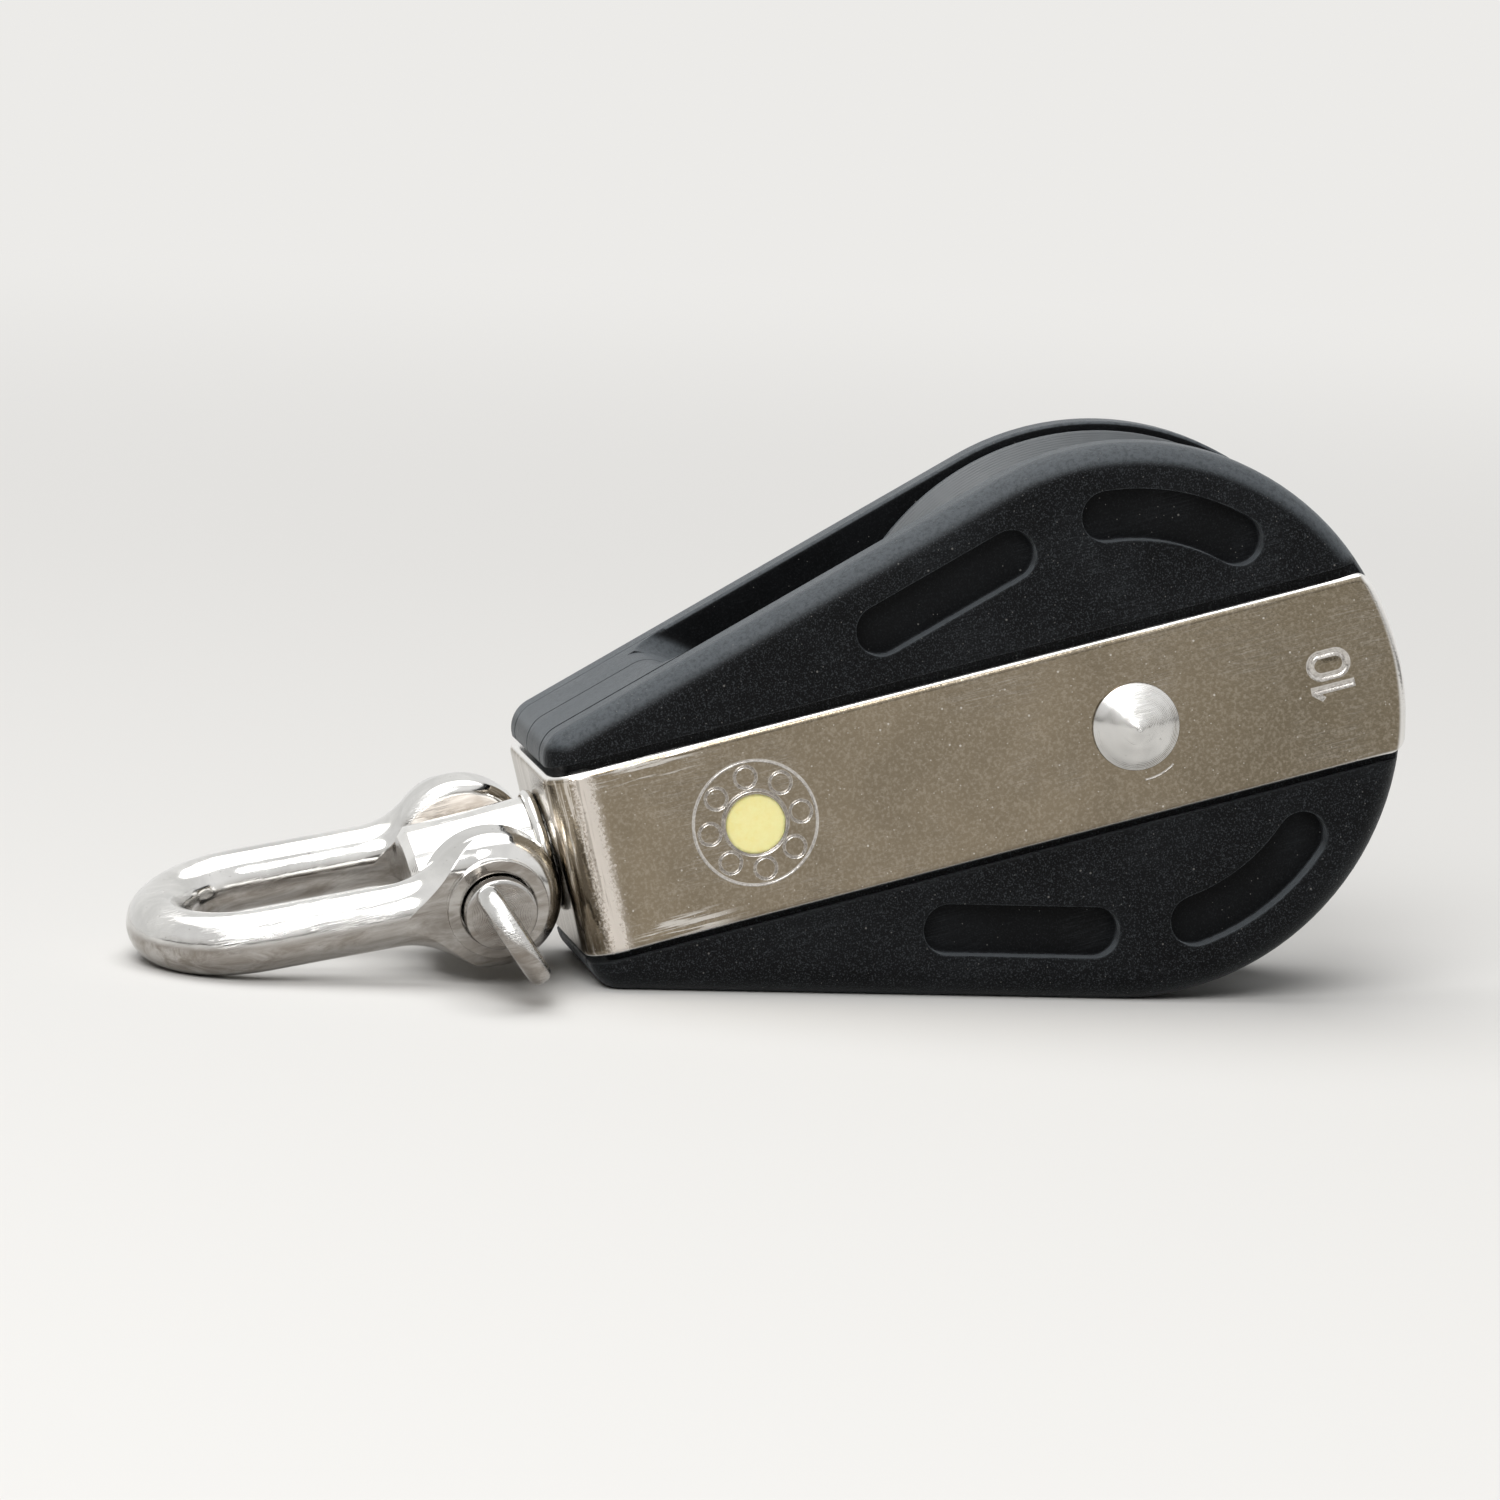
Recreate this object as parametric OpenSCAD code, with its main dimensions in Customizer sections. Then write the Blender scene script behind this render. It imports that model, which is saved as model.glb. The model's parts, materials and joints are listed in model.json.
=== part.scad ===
// Swivel sailing block with a D shackle, lying on its flank.
// Millimetres. +Z up, +X from the shackle towards the sheave, +Y away from the near cheek.
// The block is drawn in its own axes, with u along the block from head to tail, Y along the
// axle and v square to both, and lay() sets it down on the ground.

/* [Cheeks] */
// Radius of the round tail about the axle
cheek_r = 27; // [26:0.5:30]
// Half of the angle at which the two flanks close towards the head
taper = 15.8; // [14:0.2:17]
// Distance from the axle to the end of the head
head_end = 56; // [55:0.5:60]
// Wall thickness of each cheek
cheek_t = 5; // [4.6:0.1:6]
// Rounding of the outer edge
edge_round = 2.6; // [1.6:0.1:2.8]
// Rounding of the edge beside the sheave
inner_round = 0.4; // [0.3:0.1:0.9]
// Rounding of the two corners at the head
head_corner = 3; // [3:0.1:4]
// Gap of the parting seam in the head
seam_gap = 0.2; // [0.1:0.05:0.3]

/* [Head nose] */
// Distance from the axle to the centre of the round nose
nose_u = 50; // [49:0.5:52]
// Radius of the nose that the rope passes
nose_r = 17.3; // [16:0.1:17.6]
// Rounding where the nose meets a flank
nose_roll = 3; // [1:0.5:4]
// Hollow fillet between the nose and a cheek
nose_fillet = 2.5; // [1:0.5:3]

/* [Pockets] */
// Distance of the pockets' centre line from the outline
pocket_inset = 6.7; // [6:0.1:7.5]
// Width of a pocket
pocket_w = 5; // [3:0.2:5.4]
// Depth of a pocket
pocket_depth = 1.8; // [0.8:0.1:2.4]
// Start of the straight pocket, from the foot of the flank
straight_from = 2.6; // [2:0.2:5]
// Length of the straight pocket between its end centres
straight_len = 14.3; // [8:0.1:16]
// Angle of the curved pocket's tail end
curve_from = 47; // [44:1:60]
// Angle of the curved pocket's head end
curve_to = 84.7; // [75:0.1:88]

/* [Strap] */
// Width of the strap
strap_w = 18; // [16:0.5:20]
// Thickness of the strap
strap_t = 2; // [1.6:0.1:2.4]
// Height of the strap above the cheek's face
strap_proud = 1; // [0.6:0.1:1.4]
// Gap between the strap's edge and its channel
strap_gap = 0.8; // [0.4:0.1:1.2]
// Outer radius of the strap's two bends
bend_r = 3.5; // [3:0.1:4]
// Radius of the strap's round ends about the axle
strap_end_r = 26.8; // [25:0.1:26.9]
// Rounding of the strap's end corners
strap_corner = 1.8; // [1:0.1:3]
// Distance of the marker plugs from the axle
marker_u = 37.9; // [37:0.1:39]
// Diameter of the marker plugs
marker_d = 5.8; // [4:0.1:6.4]

/* [Sheave] */
// Diameter over the sheave's rim
sheave_d = 52.4; // [50:0.2:52.8]
// Width of the sheave
sheave_w = 14; // [13:0.2:15]
// Running gap at each side of the sheave
sheave_gap = 0.4; // [0.3:0.1:0.6]
// Diameter of the rope that the groove suits
rope_d = 10; // [8:0.5:10.5]
// Depth of the groove under the rim
groove_depth = 5.7; // [5.2:0.1:6.2]
// Thickness of the sheave's lip
lip_t = 0.9; // [0.7:0.1:1.1]

/* [Bearing] */
// Diameter of the axle
axle_d = 7; // [6:0.1:7.4]
// Diameter of the axle's heads
rivet_d = 8.5; // [8:0.1:9.5]
// Height of the axle's heads
rivet_h = 2; // [1.4:0.1:2.4]
// Diameter of a ball
ball_d = 4; // [3.6:0.1:4]
// Radius of the circle that the balls run on
ball_pitch_r = 8.6; // [8.5:0.1:9]
// Balls in each row
ball_count = 8; // [6:1:9]
// Distance of a row of balls from the middle
row_y = 2.9; // [2.8:0.1:3]
// Thickness of a retainer ring
retainer_t = 1.2; // [0.9:0.1:1.3]

/* [Swivel] */
// Diameter of the swivel post
post_d = 11.2; // [10.6:0.1:11.4]
// Distance from the crown to the shackle pin
post_pin = 7.1; // [7.1:0.1:8]
// Length of the post beyond the shackle pin
post_end = 6.6; // [5.5:0.1:7]
// Diameter of the post's neck
neck_d = 8; // [7:0.1:8.4]
// Thickness of the collar on the crown
collar_t = 1.2; // [0.8:0.1:1.2]
// Diameter of the collar on the crown
collar_d = 12.3; // [11.8:0.1:12.8]
// Thickness of the thrust washer under the crown
thrust_t = 1.5; // [1:0.1:1.8]
// Width of the swivel nut over its flats
nut_af = 13; // [12:0.1:13.2]
// Thickness of the swivel nut
nut_t = 5; // [4.5:0.1:5.2]
// Turn of the swivel as the block lies
swivel_turn = 8.8; // [0:0.2:12]

/* [Shackle] */
// Diameter of the shackle's bar
bar_d = 6; // [5.5:0.1:6.2]
// Clear width inside the shackle
inside_w = 12; // [11.8:0.1:13]
// Length from the pin to the outside of the bow
shackle_len = 34; // [32:0.5:38]
// Diameter of the shackle's eyes
eye_d = 13.4; // [12.8:0.1:13.4]
// Height of the ring face on the near eye
boss_h = 0.6; // [0.3:0.1:0.8]
// Diameter of the shackle pin
pin_d = 6; // [5.6:0.1:6]
// Diameter of the shackle pin's collar
collar_pin_d = 7; // [6.6:0.1:7.1]
// Height of the pin's collar over the ring face
collar_h = 1.7; // [1.2:0.1:2.2]
// Width of the pin's round tab
tab_w = 10.6; // [9.6:0.1:11]
// Thickness of the pin's tab
tab_t = 2.3; // [1.8:0.1:2.6]
// Height of the pin's tab over the near eye
tab_h = 12.9; // [12:0.1:13.6]
// Diameter of the seizing hole in the tab
tab_hole_d = 4; // [3:0.1:4.6]
// Turn of the tab from the block's long axis
tab_turn = -70; // [-90:1:-50]

/* [Hidden] */
$fn = 96;

// Clearances
run_gap = 0.04;
press_gap = 0.02;
seat_gap = 0.05;
open_gap = 0.3;
past = 1;
spare = 2;
into_channel = 25;
pocket_step = 0.04;

// Heights from the middle of the block, along the axle
cheek_in = sheave_w / 2 + sheave_gap;
cheek_out = cheek_in + cheek_t;
strap_out = cheek_out + strap_proud;
strap_in = strap_out - strap_t;

// Outline of a cheek: the foot of the flank, and the centre of the head's corner
flank_n = [-sin(taper), cos(taper)];
corner_u = -head_end + head_corner;
corner_v = (cheek_r - head_corner + corner_u * sin(taper)) / cos(taper);
flank_len = -(corner_u * cos(taper) + corner_v * sin(taper));

// Strap
crown_proud = 0.5;
crown_out = head_end + crown_proud;
crown_in = crown_out - strap_t;
bend_in_r = bend_r - strap_t;
channel_half = strap_w / 2 + strap_gap;
channel_in = strap_in - seat_gap;
channel_bend = bend_in_r + 0.1;
channel_crown = crown_in - seat_gap;

// Round corner between the nose and a flank
roll_line = cheek_r - nose_roll + 0.01;
roll_start = roll_line * flank_n + [nose_u, 0];
flank_dir = [cos(taper), sin(taper)];
roll_b = roll_start * flank_dir;
roll_s = -roll_b + sqrt(roll_b ^ 2 - roll_start * roll_start + (nose_r - nose_roll) ^ 2);
roll_c = roll_line * flank_n + roll_s * flank_dir;
roll_out = roll_c + [nose_u, 0];
roll_dir = roll_out / norm(roll_out);

// Round corner at the strap's end
end_c = [sqrt((strap_end_r - strap_corner) ^ 2 - (strap_w / 2 - strap_corner) ^ 2),
         strap_w / 2 - strap_corner];

// Markers and dowels
marker_sunk = 0.3;
marker_deep = 3;
dowel_d = 2.4;
dowel_len = 8;
dowel_u = 49;
dowel_v = 10.9;

// Sheave and bearing
sheave_r = sheave_d / 2;
groove_r = rope_d * 0.54;
groove_bottom = sheave_r - groove_depth;
groove_mouth = sheave_w / 2 - lip_t;
lip_round = 0.4;
web_recess = 0.5;
web_in = 13.6;
web_out = 21.5;
ball_r = ball_d / 2;
race_gap = 0.05;
groove_ball_r = ball_r + race_gap;
race_land_r = ball_pitch_r - ball_r + 0.8;
bore_land_r = ball_pitch_r + ball_r - 0.7;
cage_in = race_land_r + open_gap;
cage_out = bore_land_r - open_gap;
cage_half = ball_r;
pocket_gap = 0.08;
retainer_in = race_land_r + open_gap;
retainer_r = bore_land_r + 2.1;
retainer_y = row_y + cage_half + 0.25;
washer_t = 0.5;
race_half = cheek_in - washer_t - 2 * seat_gap;
washer_r = 7.2;
axle_r = axle_d / 2;

// Swivel, along u from the crown
pin_u = crown_out + post_pin;
post_r = post_d / 2;
post_chamfer = 0.8;
neck_r = neck_d / 2;
shoulder_u = crown_out + collar_t + 2 * seat_gap;
thrust_u = crown_in - seat_gap - thrust_t;
thrust_r = 7.5;
nut_u = thrust_u - seat_gap - nut_t;
lock_r = 0.8;
neck_end = nut_u - 0.6;
cavity_r = 8.2;
cavity_end = neck_end - 0.5;

// Shackle, from the pin's middle
bar_r = bar_d / 2;
leg_y = inside_w / 2 + bar_r + 0.1;
bow_x = shackle_len - bar_r - leg_y;
eye_r = eye_d / 2;
eye_in = inside_w / 2;
eye_out = inside_w / 2 + bar_d + 0.2;
eye_ball_r = eye_r - 0.05;
eye_round = 3;
eye_inner_round = 1.2;
boss_out = eye_out + boss_h;
boss_r = 4.85;
flare_r = 8;
flare_x = sqrt((eye_ball_r + flare_r) ^ 2 - (bar_r + flare_r) ^ 2);
flare_foot = [bar_r + flare_r, flare_x] * eye_ball_r / (eye_ball_r + flare_r);
pin_r = pin_d / 2;
pin_collar_r = collar_pin_d / 2;
collar_room = 0.18;
collar_seat = boss_out - 2.1;
collar_face = boss_out + collar_h;
collar_chamfer = 0.25;
tab_tip = boss_out + tab_h;
tab_r = tab_w / 2;
tab_root_w = 6.2;
tab_eye = tab_tip - tab_r;

// The shackle lies on the ground: its rise from the block's axis follows from the sizes
pin_height = cheek_r - pin_u * sin(taper);
across_z = sin(swivel_turn) * cos(taper);
lie_a = pin_height - bar_r;
lie_k = bow_x ^ 2 - leg_y ^ 2;
lie_z = (sqrt((lie_a * bow_x) ^ 2 - lie_k * (lie_a ^ 2 - (leg_y * across_z) ^ 2)) - lie_a * bow_x) / lie_k;
rise_x = cos(swivel_turn) * cos(taper);
shackle_rise = atan2(sin(taper), rise_x) + asin(lie_z / norm([sin(taper), rise_x]));

// The origin is under the middle of the whole part
leg_x = -cos(taper) * cos(shackle_rise) - sin(taper) * sin(shackle_rise) * cos(swivel_turn);
across_x = sin(taper) * sin(swivel_turn);
low_x = -pin_u * cos(taper) + bow_x * leg_x - leg_y * norm([leg_x, across_x]) - bar_r;
tab_wide_y = sin(tab_turn) * sin(swivel_turn);
tab_thick_y = cos(tab_turn) * sin(swivel_turn);
low_y = -tab_eye * cos(swivel_turn) - tab_r * norm([cos(swivel_turn), tab_wide_y])
        - tab_t / 2 * abs(tab_thick_y);
high_y = strap_out + seat_gap + rivet_h;
origin_x = (low_x + cheek_r) / 2;
origin_y = (low_y + high_y) / 2;

// Places and directions

module lay() {
    translate([-origin_x, -origin_y, cheek_r]) rotate([0, -taper, 0]) children();
}

// Turns a shape drawn flat, with its height along the axle, to the near or the far side
module side(near) {
    mirror([0, near ? 0 : 1, 0]) rotate([90, 0, 0]) children();
}

// Turns a shape drawn about Z to lie along the block's long axis, towards the head
module along_head() {
    rotate([0, -90, 0]) children();
}

module swivelled() {
    rotate([swivel_turn, 0, 0]) children();
}

module at_pin() {
    swivelled() translate([-pin_u, 0, 0]) children();
}

module at_shackle() {
    at_pin() rotate([0, shackle_rise, 0]) children();
}

// Flat shapes

module quarter(r) {
    intersection() {
        circle(r);
        square(r);
    }
}

// A slab's section, w deep and t high, with its outer corners rounded above and below
module rim_section(w, t, above, below) {
    square([w - below, t - above]);
    translate([0, below]) square([w - above, t - below]);
    translate([0, below]) square([w, t - above - below]);
    translate([w - above, t - above]) quarter(above);
    translate([w - below, below]) mirror([0, 1]) quarter(below);
}

// What a rounding of radius r about c takes off a corner whose sides leave along a and b
module corner_waste(c, a, b, r) {
    tip = c + (a + b) * r / (1 + a * b) * 1.001;
    difference() {
        polygon([c, c + a * r * 1.2, tip + (a + b) * r, c + b * r * 1.2]);
        translate(c) circle(r);
    }
}

module both_flanks() {
    children();
    mirror([0, 1, 0]) children();
}

// The casing's plan before its outline is cut
module rough_plan() {
    tip_u = -head_end - spare / 4;
    tip_v = (cheek_r + spare / 4 + tip_u * sin(taper)) / cos(taper);
    foot = (cheek_r + spare / 4) * flank_n;
    polygon([[0, 0], foot, [tip_u, tip_v], [tip_u, -tip_v], [foot.x, -foot.y]]);
    circle(cheek_r + spare / 4);
}

module head_2d() {
    difference() {
        intersection() {
            rough_plan();
            union() {
                translate([-nose_u, 0]) circle(nose_r);
                translate([-head_end - past, -cheek_r]) square([head_end + past - nose_u, 2 * cheek_r]);
            }
        }
        both_flanks() corner_waste(roll_c, flank_n, roll_dir, nose_roll);
    }
}

// Cheeks

// All that lies outside the wall's rounded profile, from below the seam to above the wall
module beside_wall() {
    difference() {
        translate([-edge_round, -cheek_in - past])
            square([edge_round + spare, cheek_in + cheek_t + 2 * past]);
        translate([-edge_round - past, -cheek_in - 2 * past])
            square([edge_round + past, cheek_in + 2 * past]);
        translate([-edge_round - past, inner_round])
            square([edge_round + past, cheek_t - inner_round - edge_round]);
        translate([-edge_round - past, 0]) square([edge_round + past - inner_round, inner_round]);
        translate([-inner_round, inner_round]) circle(inner_round);
        translate([-edge_round, cheek_t - edge_round]) circle(edge_round);
    }
}

// Cuts the outline with its rounded edges, all in the flank's own frame. The head's corner
// runs on into the strap's channel, which takes the rest of the head's end.
module round_the_outline() {
    rotate([0, 0, -90 - taper]) rotate_extrude(angle = 180 + 2 * taper)
        translate([cheek_r, 0]) beside_wall();
    both_flanks() rotate([0, 0, 90 + taper]) {
        translate([cheek_r, flank_len, 0]) rotate([90, 0, 0])
            linear_extrude(flank_len) beside_wall();
        translate([cheek_r - head_corner, flank_len, 0])
            rotate_extrude(angle = 90 - taper + into_channel)
                translate([head_corner, 0]) beside_wall();
    }
}

// Hollow fillet from the nose up to the cheek's inner face
module nose_flare() {
    intersection() {
        translate([-nose_u, 0, cheek_in - nose_fillet]) rotate_extrude() difference() {
            square([nose_r + nose_fillet, nose_fillet]);
            translate([nose_r + nose_fillet, 0]) circle(nose_fillet);
        }
        translate([0, 0, cheek_in - nose_fillet]) linear_extrude(nose_fillet) rough_plan();
        translate([-nose_u, -cheek_r, 0]) cube([nose_u, 2 * cheek_r, cheek_in]);
    }
}

module straight_pocket() {
    rotate([0, 0, 90 + taper]) translate([cheek_r - pocket_inset, straight_from, 0]) {
        cylinder(h = pocket_depth + past, d = pocket_w);
        translate([0, straight_len, 0]) cylinder(h = pocket_depth + past, d = pocket_w);
        translate([-pocket_w / 2, 0, 0]) cube([pocket_w, straight_len, pocket_depth + past]);
    }
}

module curved_pocket() {
    line_r = cheek_r - pocket_inset;
    for (a = [curve_from, curve_to])
        rotate([0, 0, a]) translate([line_r, 0, 0])
            cylinder(h = pocket_depth + past, d = pocket_w - pocket_step);
    rotate([0, 0, curve_from]) rotate_extrude(angle = curve_to - curve_from)
        translate([line_r - pocket_w / 2, 0]) square([pocket_w, pocket_depth + past]);
}

// Room for the strap: the legs' channels and the notch for the crown
module strap_room() {
    reach = head_end + cheek_r;
    rotate([90, 0, 0]) translate([0, 0, -channel_half]) linear_extrude(2 * channel_half)
        difference() {
            translate([-head_end - past, -past]) square([reach + 2 * past, cheek_out + 2 * past]);
            translate([-channel_crown, -2 * past])
                square([reach + 2 * past, channel_in - channel_bend + 2 * past]);
            translate([-channel_crown + channel_bend, -2 * past])
                square([reach + 2 * past, channel_in + 2 * past]);
            translate([-channel_crown + channel_bend, channel_in - channel_bend])
                circle(channel_bend);
        }
}

// One half of the casing, drawn flat with its height measured from the block's middle
module casing_half() {
    difference() {
        union() {
            translate([0, 0, cheek_in]) linear_extrude(cheek_t) rough_plan();
            translate([0, 0, seam_gap / 2]) linear_extrude(cheek_in + 1 - seam_gap / 2) head_2d();
            nose_flare();
        }
        translate([0, 0, cheek_in]) round_the_outline();
        strap_room();
        translate([0, 0, cheek_out - pocket_depth]) both_flanks() {
            straight_pocket();
            curved_pocket();
        }
        cylinder(h = cheek_out + past, r = axle_r + press_gap);
        translate([-marker_u, 0, strap_in - marker_deep])
            cylinder(h = marker_deep + past, r = marker_d / 2 + press_gap);
        translate([-cavity_end, 0, 0]) along_head()
            cylinder(h = head_end - cavity_end + past, r = cavity_r);
        both_flanks() translate([-dowel_u, dowel_v, -past])
            cylinder(h = dowel_len / 2 + past + seat_gap, r = dowel_d / 2 + press_gap);
    }
}

module near_cheek() {
    color("#232427") lay() side(true) casing_half();
}

module far_cheek() {
    color("#232427") lay() side(false) casing_half();
}

module head_dowels() {
    color("#c9ccd0") lay() side(true) both_flanks() translate([-dowel_u, dowel_v, -dowel_len / 2])
        cylinder(h = dowel_len, d = dowel_d);
}

// Strap

module strap_plan() {
    difference() {
        union() {
            translate([-crown_out, -strap_w / 2]) square([crown_out, strap_w]);
            intersection() {
                circle(strap_end_r);
                translate([0, -strap_w / 2]) square([cheek_r, strap_w]);
            }
        }
        both_flanks() corner_waste(end_c, [0, 1], end_c / norm(end_c), strap_corner);
    }
}

// The bent strip seen from its edge: legs, crown and two round bends
module strip_edge(out, crown, r) {
    reach = crown + strap_end_r + past;
    translate([-crown + r, -out]) square([reach, 2 * out]);
    translate([-crown, -out + r]) square([reach, 2 * (out - r)]);
    for (s = [-1, 1])
        translate([-crown + r, s * (out - r)]) circle(r);
}

module strap() {
    color("#b9b2a6") lay() difference() {
        intersection() {
            translate([0, 0, -strap_w / 2]) linear_extrude(strap_w) difference() {
                strip_edge(strap_out, crown_out, bend_r);
                strip_edge(strap_in, crown_in, bend_in_r);
            }
            rotate([90, 0, 0]) translate([0, 0, -strap_out - past])
                linear_extrude(2 * (strap_out + past)) strap_plan();
        }
        rotate([90, 0, 0]) translate([0, 0, -strap_out - past])
            cylinder(h = 2 * (strap_out + past), r = axle_r + press_gap);
        for (near = [true, false])
            side(near) translate([-marker_u, 0, strap_in - past])
                cylinder(h = strap_t + 2 * past, r = marker_d / 2 + press_gap);
        translate([-crown_in + past, 0, 0]) along_head()
            cylinder(h = strap_t + 2 * past, r = neck_r + run_gap);
    }
}

module marker_plug() {
    translate([-marker_u, 0, strap_in - marker_deep + seat_gap])
        cylinder(h = marker_deep + strap_t - marker_sunk - seat_gap, d = marker_d);
}

module near_marker() {
    color("#f2ec96") lay() side(true) marker_plug();
}

module far_marker() {
    color("#f2ec96") lay() side(false) marker_plug();
}

// Axle and bearing

module rivet_head() {
    rivet_r = rivet_d / 2;
    rim_h = 0.3;
    tip_h = 0.3;
    dome_h = rivet_h - rim_h - tip_h;
    dome_r = (rivet_r ^ 2 + dome_h ^ 2) / (2 * dome_h);
    tip_r = 1.5;
    rotate_extrude() {
        square([rivet_r, rim_h]);
        translate([0, rim_h]) intersection() {
            translate([0, dome_h - dome_r]) circle(dome_r);
            square([rivet_r, dome_h]);
        }
        polygon([[0, rim_h], [tip_r, rim_h], [tip_r, rivet_h - tip_h - 0.15], [0, rivet_h]]);
    }
}

module axle_rivet() {
    color("#d7d8da") lay() {
        rotate([90, 0, 0]) translate([0, 0, -strap_out - seat_gap])
            cylinder(h = 2 * (strap_out + seat_gap), r = axle_r);
        for (near = [true, false])
            side(near) translate([0, 0, strap_out + seat_gap]) rivet_head();
    }
}

module ball_groove() {
    for (s = [-1, 1])
        translate([ball_pitch_r, s * row_y]) circle(groove_ball_r);
}

module inner_race() {
    bore_r = axle_r + press_gap;
    color("#c2c5c9") lay() side(true) rotate_extrude() difference() {
        translate([bore_r, -race_half]) square([race_land_r - bore_r, 2 * race_half]);
        ball_groove();
    }
}

module side_washer() {
    translate([0, 0, race_half + seat_gap]) difference() {
        cylinder(h = washer_t, r = washer_r);
        translate([0, 0, -past]) cylinder(h = washer_t + 2 * past, r = axle_r + press_gap);
    }
}

module near_side_washer() {
    color("#c2c5c9") lay() side(true) side_washer();
}

module far_side_washer() {
    color("#c2c5c9") lay() side(false) side_washer();
}

// Half of the sheave's section, without its bore
module sheave_section() {
    half = sheave_w / 2;
    groove_c = groove_bottom + groove_r;
    wall_angle = acos(groove_r / norm([groove_mouth, sheave_r - groove_c]))
                 - atan2(sheave_r - groove_c, groove_mouth);
    touch = [groove_c - groove_r * sin(wall_angle), groove_r * cos(wall_angle)];
    difference() {
        square([sheave_r, half]);
        polygon([[groove_c, 0], touch, [sheave_r, groove_mouth], [sheave_r + past, groove_mouth],
                 [sheave_r + past, -past], [groove_c, -past]]);
        translate([groove_c, 0]) circle(groove_r);
        translate([web_in, half - web_recess]) square([web_out - web_in, web_recess + past]);
        corner_waste([sheave_r - lip_round, half - lip_round], [1, 0], [0, 1], lip_round);
    }
}

module sheave() {
    color("#3a3d40") lay() side(true) rotate_extrude() difference() {
        union() {
            sheave_section();
            mirror([0, 1]) sheave_section();
        }
        translate([-past, -sheave_w]) square([bore_land_r + past, 2 * sheave_w]);
        ball_groove();
        for (s = [0, 1])
            mirror([0, s]) translate([0, retainer_y - seat_gap]) square([retainer_r, sheave_w]);
    }
}

module retainer() {
    translate([0, 0, retainer_y]) difference() {
        cylinder(h = retainer_t, r = retainer_r - press_gap);
        translate([0, 0, -past]) cylinder(h = retainer_t + 2 * past, r = retainer_in);
    }
}

module near_retainer() {
    color("#2c2e31") lay() side(true) retainer();
}

module far_retainer() {
    color("#2c2e31") lay() side(false) retainer();
}

module each_ball() {
    for (i = [0 : ball_count - 1])
        rotate([0, 0, 360 * i / ball_count]) translate([ball_pitch_r, 0, row_y]) children();
}

module ball_row() {
    each_ball() sphere(ball_r);
}

module ball_cage() {
    difference() {
        rotate_extrude() translate([cage_in, row_y - cage_half])
            square([cage_out - cage_in, 2 * cage_half]);
        each_ball() sphere(ball_r + pocket_gap);
    }
}

module near_ball_row() {
    color("#dfe1e4") lay() side(true) ball_row();
}

module far_ball_row() {
    color("#dfe1e4") lay() side(false) ball_row();
}

module near_ball_cage() {
    color("#e8e6dc") lay() side(true) ball_cage();
}

module far_ball_cage() {
    color("#e8e6dc") lay() side(false) ball_cage();
}

// Swivel

module pin_bore(r) {
    rotate([90, 0, 0]) cylinder(h = 4 * eye_out, r = r, center = true);
}

module swivel_post() {
    post_tip = pin_u + post_end;
    color("#dcdddf") lay() swivelled() difference() {
        along_head() rotate_extrude()
            polygon([[0, neck_end], [neck_r - 0.4, neck_end], [neck_r, neck_end + 0.4],
                     [neck_r, shoulder_u], [post_r, shoulder_u], [post_r, post_tip - post_chamfer],
                     [post_r - post_chamfer, post_tip], [0, post_tip]]);
        translate([-pin_u, 0, 0]) pin_bore(pin_r + run_gap);
        lock_bore();
    }
}

module lock_bore() {
    translate([-nut_u - nut_t / 2, 0, 0]) rotate([90, 0, 0])
        cylinder(h = 3 * nut_af, r = lock_r + press_gap, center = true);
}

module swivel_collar() {
    collar_r = collar_d / 2;
    edge_r = collar_t / 2;
    color("#dcdddf") lay() swivelled() along_head() translate([0, 0, crown_out + seat_gap])
        rotate_extrude() {
            translate([neck_r + run_gap, 0]) square([collar_r - edge_r - neck_r - run_gap, collar_t]);
            translate([collar_r - edge_r, edge_r]) circle(edge_r);
        }
}

module thrust_washer() {
    color("#c9ccd0") lay() swivelled() along_head() translate([0, 0, thrust_u]) difference() {
        cylinder(h = thrust_t, r = thrust_r);
        translate([0, 0, -past]) cylinder(h = thrust_t + 2 * past, r = neck_r + run_gap);
    }
}

module swivel_nut() {
    color("#c9ccd0") lay() swivelled() difference() {
        along_head() translate([0, 0, nut_u]) difference() {
            cylinder(h = nut_t, r = nut_af / 2 / cos(30), $fn = 6);
            translate([0, 0, -past]) cylinder(h = nut_t + 2 * past, r = neck_r + press_gap);
        }
        lock_bore();
    }
}

module swivel_lock_pin() {
    color("#aeb2b7") lay() swivelled() translate([-nut_u - nut_t / 2, 0, 0]) rotate([90, 0, 0])
        cylinder(h = nut_af - 0.4, r = lock_r, center = true);
}

// Shackle

// Half of an eye's section, drawn smaller all round by sunk
module eye_section(sunk) {
    translate([0, eye_in + sunk])
        rim_section(eye_r - sunk, eye_out - eye_in - 2 * sunk, eye_round, eye_inner_round);
}

module eye_body() {
    rotate_extrude() eye_section(0);
}

// A leg's bar, spreading by a forged blend into the eye
module leg_bar() {
    intersection() {
        translate([0, 0, leg_y]) along_head() rotate_extrude() {
            intersection() {
                circle(eye_ball_r);
                square([eye_ball_r, flare_foot.y]);
            }
            difference() {
                translate([0, flare_foot.y]) square([flare_foot.x, flare_x - flare_foot.y]);
                translate([bar_r + flare_r, flare_x]) circle(flare_r);
            }
            square([bar_r, bow_x]);
        }
        rotate([90, 0, -90]) linear_extrude(bow_x) both_ways() eye_section(0.05);
    }
}

module both_ways() {
    children();
    mirror([1, 0, 0]) children();
}

module leg() {
    eye_body();
    leg_bar();
}

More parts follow.
